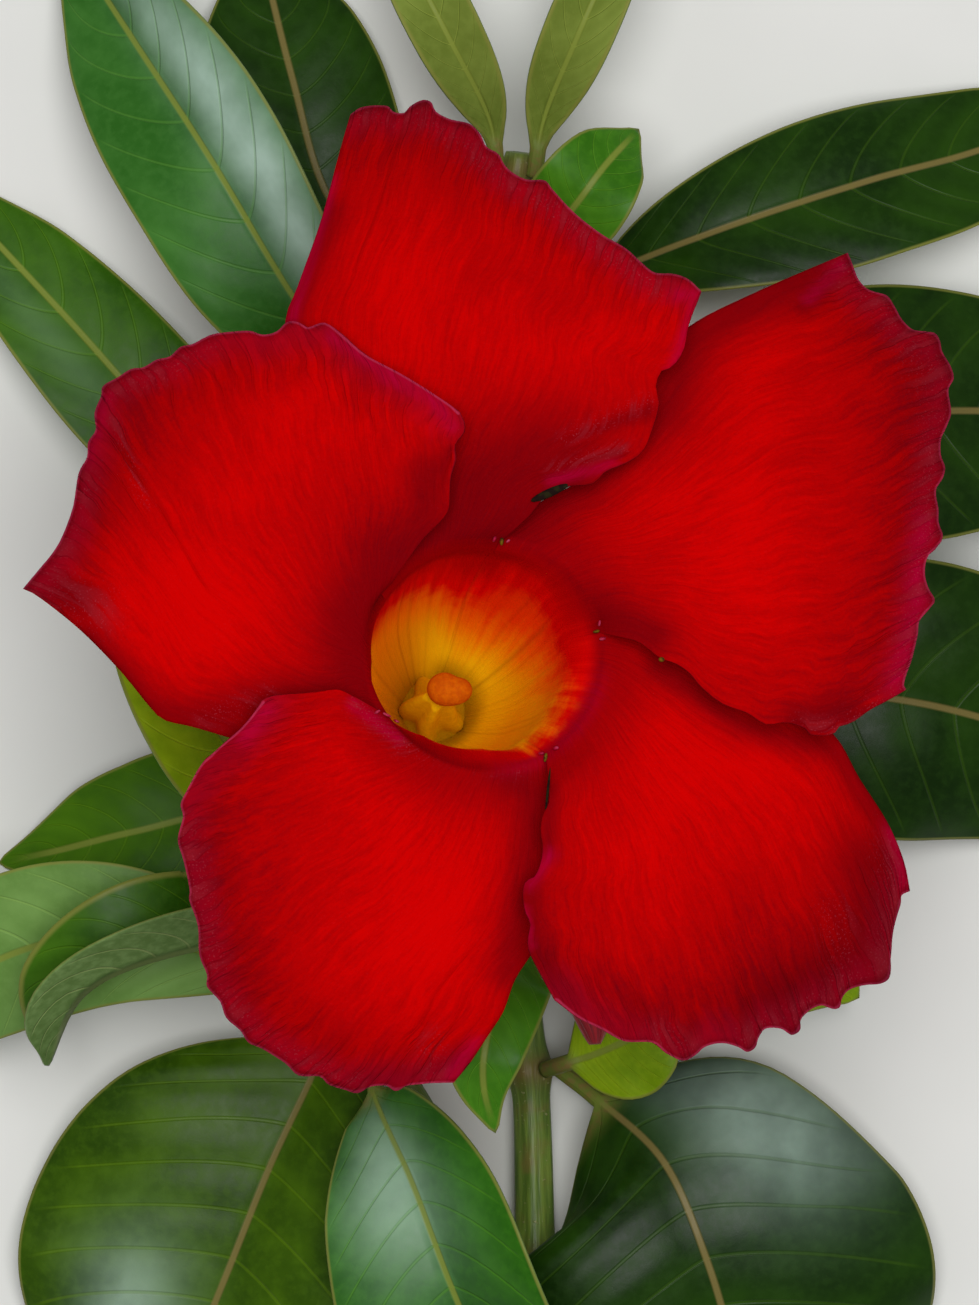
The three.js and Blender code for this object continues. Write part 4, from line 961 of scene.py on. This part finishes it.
def stem_radius(stem, share, y):
    radius = stem["radii"][0] + (stem["radii"][1] - stem["radii"][0]) * share
    return radius + JOINT_SWELL * sum(hump(y - joint, 1.8) for joint in stem["joints"])


def off_stem(stem, y, points):
    """The curve of a side piece, starting just off the stem that carries it."""
    curve = Curve(stem["route"])
    shares = np.linspace(0, 1, 401)
    share = shares[np.argmin(np.abs(curve.along(shares)[:, 1] - y))]
    centre, ahead = curve.along(share), curve.direction(share)
    away = np.array(points[0]) - centre
    away = unit(away - ahead * (away @ ahead))
    return Curve([centre + away * (stem_radius(stem, share, y) + SIDE_GAP), *points])


def blade_half_width(width, s):
    oval = np.sin(math.pi * np.clip(s, 0, 1) ** BLADE["base"]) ** BLADE["fullness"]
    pointed = 1 - BLADE["tip_draw"] * smooth(BLADE["tip_from"], 1, s)
    return width / 2 * oval * pointed + BLADE["least_half"]


def leaf(name, stem, at, stalk, width, roll, fold, droop, middle):
    curve = off_stem(stem, at, middle)
    blade = curve.length - stalk
    rows = max(int(blade / ROW_STEP), 18)
    s = np.concatenate([np.zeros(STALK_ROWS), np.linspace(0, 1, rows + 1)[1:-1]])[:, None]
    distance = np.concatenate([np.linspace(0, stalk, STALK_ROWS), stalk + blade * s[STALK_ROWS:, 0]])
    share = distance / curve.length
    centre, ahead = curve.along(share), curve.direction(share)
    level = unit(np.cross(ahead, UP))
    side = turned(level, ahead, -math.radians(roll))
    out = turned(np.cross(level, ahead), ahead, -math.radians(roll))
    start = np.clip(s / BLADE_START, 0, 1)
    widening = STALK_HALF + (blade_half_width(width, BLADE_START) - STALK_HALF) * start
    half = np.where(s < BLADE_START, widening, blade_half_width(width, s))
    columns = 13 if width > 12 else 8
    c = np.sin(np.linspace(-1, 1, 2 * columns + 1) * COLUMN_SPREAD)[None] / math.sin(COLUMN_SPREAD)
    reach = half * c
    lift = (np.abs(reach) * math.tan(math.radians(fold)) - droop * reach**2 / half) * start
    # the blade puffs up a little between its side veins, and its margin waves gently
    strand = (s - VEIN_SWEEP * np.abs(c) ** VEIN_BEND) * VEINS
    puff = PUFF * width * np.abs(np.sin(math.pi * strand)) * np.sin(math.pi * np.abs(c)) ** 0.7
    sway = SWAY * width * c**2 * ripple(s + 0.3 * np.sign(c), 0, (1.7, 2.9))
    lift = lift + (puff + sway) * smooth(0.0, 0.2, s) * smooth(1.0, 0.8, s)
    points = centre[:, None] + side[:, None] * reach[..., None] + out[:, None] * lift[..., None]
    blend = start**0.5
    stalk_round = STALK_HALF * np.sqrt(1 - 0.9 * c**2) * (1 - blend)
    flat = BLADE_HALF * (1 - EDGE_THINNING * smooth(0.85, 1, np.abs(c)))
    rib = MIDRIB_DEPTH * (1 - s) * hump(reach, 0.7)
    at_s, at_c, long, wide, strength = SHEENS.get(name, NO_SHEEN)
    sheen = strength * hump(s - at_s, long) * hump(c - at_c, wide)
    sheet = Sheet()
    numbers = sheet.add(points, stalk_round + flat * blend, stalk_round + (flat + rib) * blend, s=s, c=c,
                        side_mm=reach, edge_mm=half - np.abs(reach), blade=start, sheen=sheen)
    sheet.weave(numbers)
    tip = sheet.add(curve.along(1.0)[None], BLADE_HALF / 2, s=1.0, blade=1.0)
    sheet.fan(numbers[-1], tip[0])
    return sheet.body(f"foliage_{name}", floor=0.0)


def leaf_finish(kind):
    dark, light, roughness = GREENS[kind]
    look = Finish(f"leaf_{kind}", Specular_IOR_Level=0.1, Coat_Weight=0.06, Coat_Roughness=0.28)
    s, c, side_mm = look.marks("s c side_mm")
    across = abs(c)
    strand = s - across.maths("POWER", VEIN_BEND) * VEIN_SWEEP
    away = (strand * VEINS).maths("PINGPONG", 0.5)
    vein = away.ramp(0.055, 0.015) * across.ramp(0.98, 0.8)
    midrib = abs(side_mm).ramp(0.5, 0.2) * s.ramp(0.98, 0.8)
    patches = look.noise(90.0, 4, 0.55)
    cells = look.noise(900.0, 3, 0.6)
    green = look.mix(dark, light, patches.ramp(0.3, 0.72))
    green = green.coat(dark, away.ramp(0.08, 0.5) * 0.3)
    green = green.coat(light, cells.ramp(0.4, 0.7, 0.0, 0.3))
    # painted sheen: pale reflected light on some blades
    green = green.coat((186, 212, 198), look.mark("sheen") * patches.ramp(0.25, 0.7, 0.5, 1.0))
    green = green.coat([channel + lift for channel, lift in zip(light, (26, 26, 8))], vein * 0.3)
    green = green.coat((128, 130, 58), look.mark("edge_mm").ramp(0.42, 0.14) * 0.75)
    green = green.coat((122, 108, 60) if kind in ("deep", "olive") else (126, 138, 54), midrib * 0.85)
    stalk = look.mix((108, 122, 48), (128, 108, 58), cells.ramp(0.4, 0.7))
    green = stalk.coat(green, look.mark("blade"))
    pale = look.mix((96, 124, 66), (116, 144, 84), cells.ramp(0.35, 0.7))
    pale = pale.coat((150, 166, 104), (vein * 0.6).maths("MAXIMUM", midrib))
    look.link("Base Color", green.coat(pale, look.mark("underside")))
    look.link("Roughness", cells.ramp(0.3, 0.75, roughness, roughness + 0.14))
    look.bump(cells * 0.3 - vein.maths("MAXIMUM", midrib), 0.00012, 0.7)
    return look


# ---- Stems, stalks, calyx and bud ----
def stem_finish(name, light, dark, blush_and_sheen):
    look = Finish(name, Specular_IOR_Level=0.4, Roughness=0.45)
    grain = look.vector(look.mark("around") * 3.0, look.mark("along_mm") * 0.12)
    streak = look.noise(1.0, 3, 0.6, grain)
    green = look.mix(dark, light, streak.ramp(0.35, 0.68))
    green = green.coat(blush_and_sheen, look.noise(260.0, 3).ramp(0.5, 0.75) * 0.5)
    green = green.coat(blush_and_sheen, look.mark("joint") * 0.6)
    spots = look.noise(2100.0, 1).ramp(0.68, 0.76, 0.0, 0.5)
    look.link("Base Color", green.coat((166, 160, 112), spots))
    look.bump(streak + spots * 0.6, 0.00025)
    return look


def stem_object(name, curve, steps, sides, radius, joints=(), lowest=-math.inf):
    rings, along, angle = tube(curve, steps, sides, radius)
    rings[..., 2] = np.maximum(rings[..., 2], lowest)
    swollen = 0 * along + sum(hump(rings[..., 1] - joint, 1.5) for joint in joints)
    along_mm, angle, swollen = loft_marks(along * curve.length, angle, swollen)
    return make_object(name, *loft(rings), dict(along_mm=along_mm, around=angle, joint=swollen))


def woody_stem(name, stem, steps):
    def radius(share, centre, angle):
        rib = 0.045 * np.cos(5 * angle + 9 * share) + 0.02 * np.cos(11 * angle)
        return stem_radius(stem, share, centre[..., 1]) * (1 + rib)

    return stem_object(name, Curve(stem["route"]), steps, 32, radius, stem["joints"], lowest=0.0)


SKIN_HALF = 0.33
FLOWER_FOOT = BELL_FOOT + SKIN_HALF
SEPALS = 5
SEPAL_HALF = 0.22
SEPAL_COLUMNS = 12
GAP = 0.3
CALYX = dict(radius=3.35, length=9.0, flare=2.2)
CUP_HEIGHTS = np.array([0, 0.35, 0.9, 1.7, 2.6])
CUP_RADII = CALYX["radius"] * np.array([0.9, 0.97, 1.0, 1.01, 1.02])
STALK_LEAD = 3.0


def flower_stalk():
    top_depth = FLOWER_FOOT + 2 * GAP + 2 * SKIN_HALF
    tip = [in_flower(top_depth + STALK_LEAD, 0.0, 0.0), in_flower(top_depth, 0.0, 0.0)]
    curve = off_stem(MAIN_STEM, -24, [(-3.5, -21, 8.6), (-8, -17, 9.2), (-9.8, -13.6, 8.8), *tip])

    def radius(share, centre, angle):
        scars = 0.12 * hump(share - 0.34, 0.02) + 0.12 * hump(share - 0.55, 0.02)
        return 1.25 - 0.15 * share + scars + 0.04 * np.cos(5 * angle)

    return stem_object("flower_stalk_skin", curve, 90, 24, radius)


def calyx():
    """A cup that splits into five long sepals, each with a keel and a drawn-out tip."""
    sheet = Sheet()
    floor_depth = FLOWER_FOOT + GAP + SKIN_HALF
    c = np.linspace(-1, 1, SEPAL_COLUMNS + 1)[None]
    height, radius = CUP_HEIGHTS[:, None], CUP_RADII[:, None]
    angle = around(SEPALS * SEPAL_COLUMNS)[None]
    keel = 0.06 * np.cos(SEPALS * (angle - TURN / (2 * SEPALS)))
    cup = sheet.add(in_flower(floor_depth - height, radius * (1 + keel), angle), SEPAL_HALF,
                    along_mm=height, around=angle)
    closed = np.hstack([cup, cup[:, :1]])
    sheet.weave(closed[:, ::-1])
    centre = sheet.add(in_flower(np.array([floor_depth]), 0.0, 0.0), SEPAL_HALF)
    sheet.fan(closed[0], centre[0])
    t = np.linspace(0, 1, 19)[1:-1, None]
    for sepal in range(SEPALS):
        middle = TURN * (sepal + 0.5) / SEPALS
        bend = middle + TURN / (2 * SEPALS) * (1 - t) ** 0.8 * c
        rise = CUP_HEIGHTS[-1] + (CALYX["length"] - CUP_HEIGHTS[-1]) * t
        out = CUP_RADII[-1] + CALYX["flare"] * t**1.3
        fold = 0.06 * np.cos(math.pi * c) * (1 - t) - 0.25 * t * c**2
        rows = sheet.add(in_flower(floor_depth - rise, out + fold, bend), SEPAL_HALF * 0.9,
                         along_mm=rise, around=bend)
        base = closed[-1, sepal * SEPAL_COLUMNS:(sepal + 1) * SEPAL_COLUMNS + 1]
        sheet.weave(np.vstack([base, rows])[:, ::-1])
        end = in_flower(floor_depth - CALYX["length"], CALYX["radius"] + CALYX["flare"], np.array([middle]))
        tip = sheet.add(end, SEPAL_HALF * 0.5, along_mm=CALYX["length"])
        sheet.fan(rows[-1][::-1], tip[0])
    return sheet.body("flower_calyx")


BUD = dict(foot=(9.6, -11, 13), tip=(11.5, -40.6, 17), radius=4.2, foot_share=0.34, tip_radius=0.12,
           widest=0.52, taper_end=1.02, bluntness=0.4, petals=5, turns=0.55, ridge=0.13)


def petal_part(share, angle):
    """How far across one of the bud's wound petals a point lies, 0 to 1."""
    return BUD["petals"] * (angle / TURN + BUD["turns"] * share) % 1


def bud():
    def radius(share, centre, angle):
        swell = BUD["foot_share"] + (1 - BUD["foot_share"]) * smooth(0, BUD["widest"], share)
        taper = (1 - smooth(BUD["widest"], BUD["taper_end"], share)) ** BUD["bluntness"]
        part = petal_part(share, angle)
        step = BUD["ridge"] * (np.minimum(part, (1 - part) * 12) - 0.5)
        return (BUD["radius"] * swell * taper + BUD["tip_radius"]) * (1 + step)

    rings, along, angle = tube(Curve([BUD["foot"], BUD["tip"]]), 110, 120, radius)
    share, part = loft_marks(along, petal_part(along, angle))
    return make_object("bud_petals", *loft(rings), dict(share=share, part=part))


def bud_finish():
    look = Finish("bud_red", Roughness=0.42, Specular_IOR_Level=0.35, Sheen_Weight=0.2)
    share, part = look.marks("share part")
    streak = look.noise(1.0, 3, place=look.vector(part * 9.0, share * 5.0))
    fade = streak.ramp(0.35, 0.7)
    red = look.mix((124, 8, 24), (176, 16, 32), fade).coat((70, 4, 14), part.ramp(0.85, 0.99, 0.0, 0.5))
    base = look.mix((112, 122, 52), (146, 118, 62), fade)
    look.link("Base Color", base.coat(red, share.ramp(0.1, 0.32)))
    look.bump(streak, 0.00018)
    return look


def bud_stalk():
    foot, tip = np.array(BUD["foot"], float), np.array(BUD["tip"], float)
    back = unit(foot - tip)
    lead = foot + back * STALK_LEAD
    curve = off_stem(MAIN_STEM, -2, [(3, -3.6, 9), (7, -5.6, 12), lead, foot + back * GAP])

    def radius(share, centre, angle):
        return 1 + 0.04 * np.cos(5 * angle)

    return stem_object("bud_stalk_skin", curve, 50, 20, radius)


# ---- The sprig ----
flower = corolla()
dress(flower, petal_finish(), "corolla")
pink = bead_finish("notch_pink", (196, 66, 100), (160, 14, 50), 0.35)
olive = bead_finish("notch_olive", (110, 84, 8), (56, 28, 8), 0.7)
# painted shade: dark beads in the slits between lobes
dark = bead_finish("slit_shade", (26, 12, 8), (34, 30, 10), 0.9)
dress(notch_beads("flower_bumps", NOTCH_BUMPS, flower), pink, "corolla")
dress(notch_beads("flower_spots", NOTCH_SPOTS, flower), olive, "corolla")
dress(notch_beads("flower_slits", SLITS, flower), dark, "corolla")
cone_look = throat_part_finish("anther_yellow", (240, 198, 6), (228, 184, 5), (194, 146, 8), 0.7)
head_look = throat_part_finish("anther_orange", (200, 100, 0), (184, 82, 0), (200, 80, 6), 0.8)
dress(anther_cone(), cone_look, "anther_cone")
dress(anther_head(), head_look, "anther_head")

stem_look = stem_finish("stem_green", (112, 136, 52), (78, 104, 34), (128, 92, 54))
calyx_look = stem_finish("calyx_green", (132, 152, 66), (104, 130, 44), (150, 92, 60))
dress(calyx(), calyx_look, "calyx")
dress(flower_stalk(), stem_look, "flower_stalk")
dress(woody_stem("stem_main", MAIN_STEM, 260), stem_look, "main_stem")
dress(woody_stem("stem_side", SIDE_SHOOT, 90), stem_look, "side_shoot")
dress(bud(), bud_finish(), "bud")
dress(bud_stalk(), stem_look, "bud_stalk")

leaf_looks = {kind: leaf_finish(kind) for kind in GREENS}
for name, (*growth, kind, middle) in LEAVES.items():
    dress(leaf(name, *growth, middle), leaf_looks[kind], f"leaf_{name}")


# ---- Floor, lights and camera ----
FLOOR_HALF = 1.6                       # in metres


def floor():
    mesh = bpy.data.meshes.new("studio_floor")
    corners = [(-FLOOR_HALF, -FLOOR_HALF, 0), (FLOOR_HALF, -FLOOR_HALF, 0), (FLOOR_HALF, FLOOR_HALF, 0),
               (-FLOOR_HALF, FLOOR_HALF, 0)]
    mesh.from_pydata(corners, [], [(0, 1, 2, 3)])
    obj = bpy.data.objects.new("studio_floor", mesh)
    bpy.context.scene.collection.objects.link(obj)
    look = Finish("floor_pale", Roughness=0.8, Specular_IOR_Level=0.2)
    look.link("Base Color", look.mix((225, 225, 221), (228, 228, 224), look.noise(40.0, 3).ramp(0.3, 0.7)))
    mesh.materials.append(look.material)


def light_above(place, size, watts):
    """One round, soft light that looks at the flower."""
    light = bpy.data.lights.new("light_above", "AREA")
    light.shape = "DISK"
    light.size = size
    light.energy = watts
    obj = bpy.data.objects.new("light_above", light)
    obj.location = np.array(place) * MM + SHIFT
    target = np.array([0, 0, RIM_HEIGHT]) * MM + SHIFT
    toward = unit(np.array(obj.location) - target)
    obj.rotation_euler = (math.acos(toward[2]), 0, math.atan2(toward[0], -toward[1]))
    bpy.context.scene.collection.objects.link(obj)


floor()
light_above((40, 60, 950), 0.65, 7.2)
world = bpy.data.worlds.new("studio")
world.use_nodes = True
world.node_tree.nodes["Background"].inputs["Color"].default_value = (0.98, 0.99, 1.0, 1)
world.node_tree.nodes["Background"].inputs["Strength"].default_value = 0.26
bpy.context.scene.world = world
bpy.context.scene.view_settings.view_transform = "Standard"

# The camera looks straight down from 0.7 m above the rim, and its frame is 125.5 mm high there
CAMERA_PLACE = (0.72, -0.625, 760)
CAMERA_LENS = 200.8
camera = bpy.data.objects.new("camera", bpy.data.cameras.new("camera"))
camera.data.sensor_width = 36.0
camera.data.lens = CAMERA_LENS
camera.data.clip_start = 0.01
camera.location = np.array(CAMERA_PLACE) * MM + SHIFT
bpy.context.scene.collection.objects.link(camera)
bpy.context.scene.camera = camera
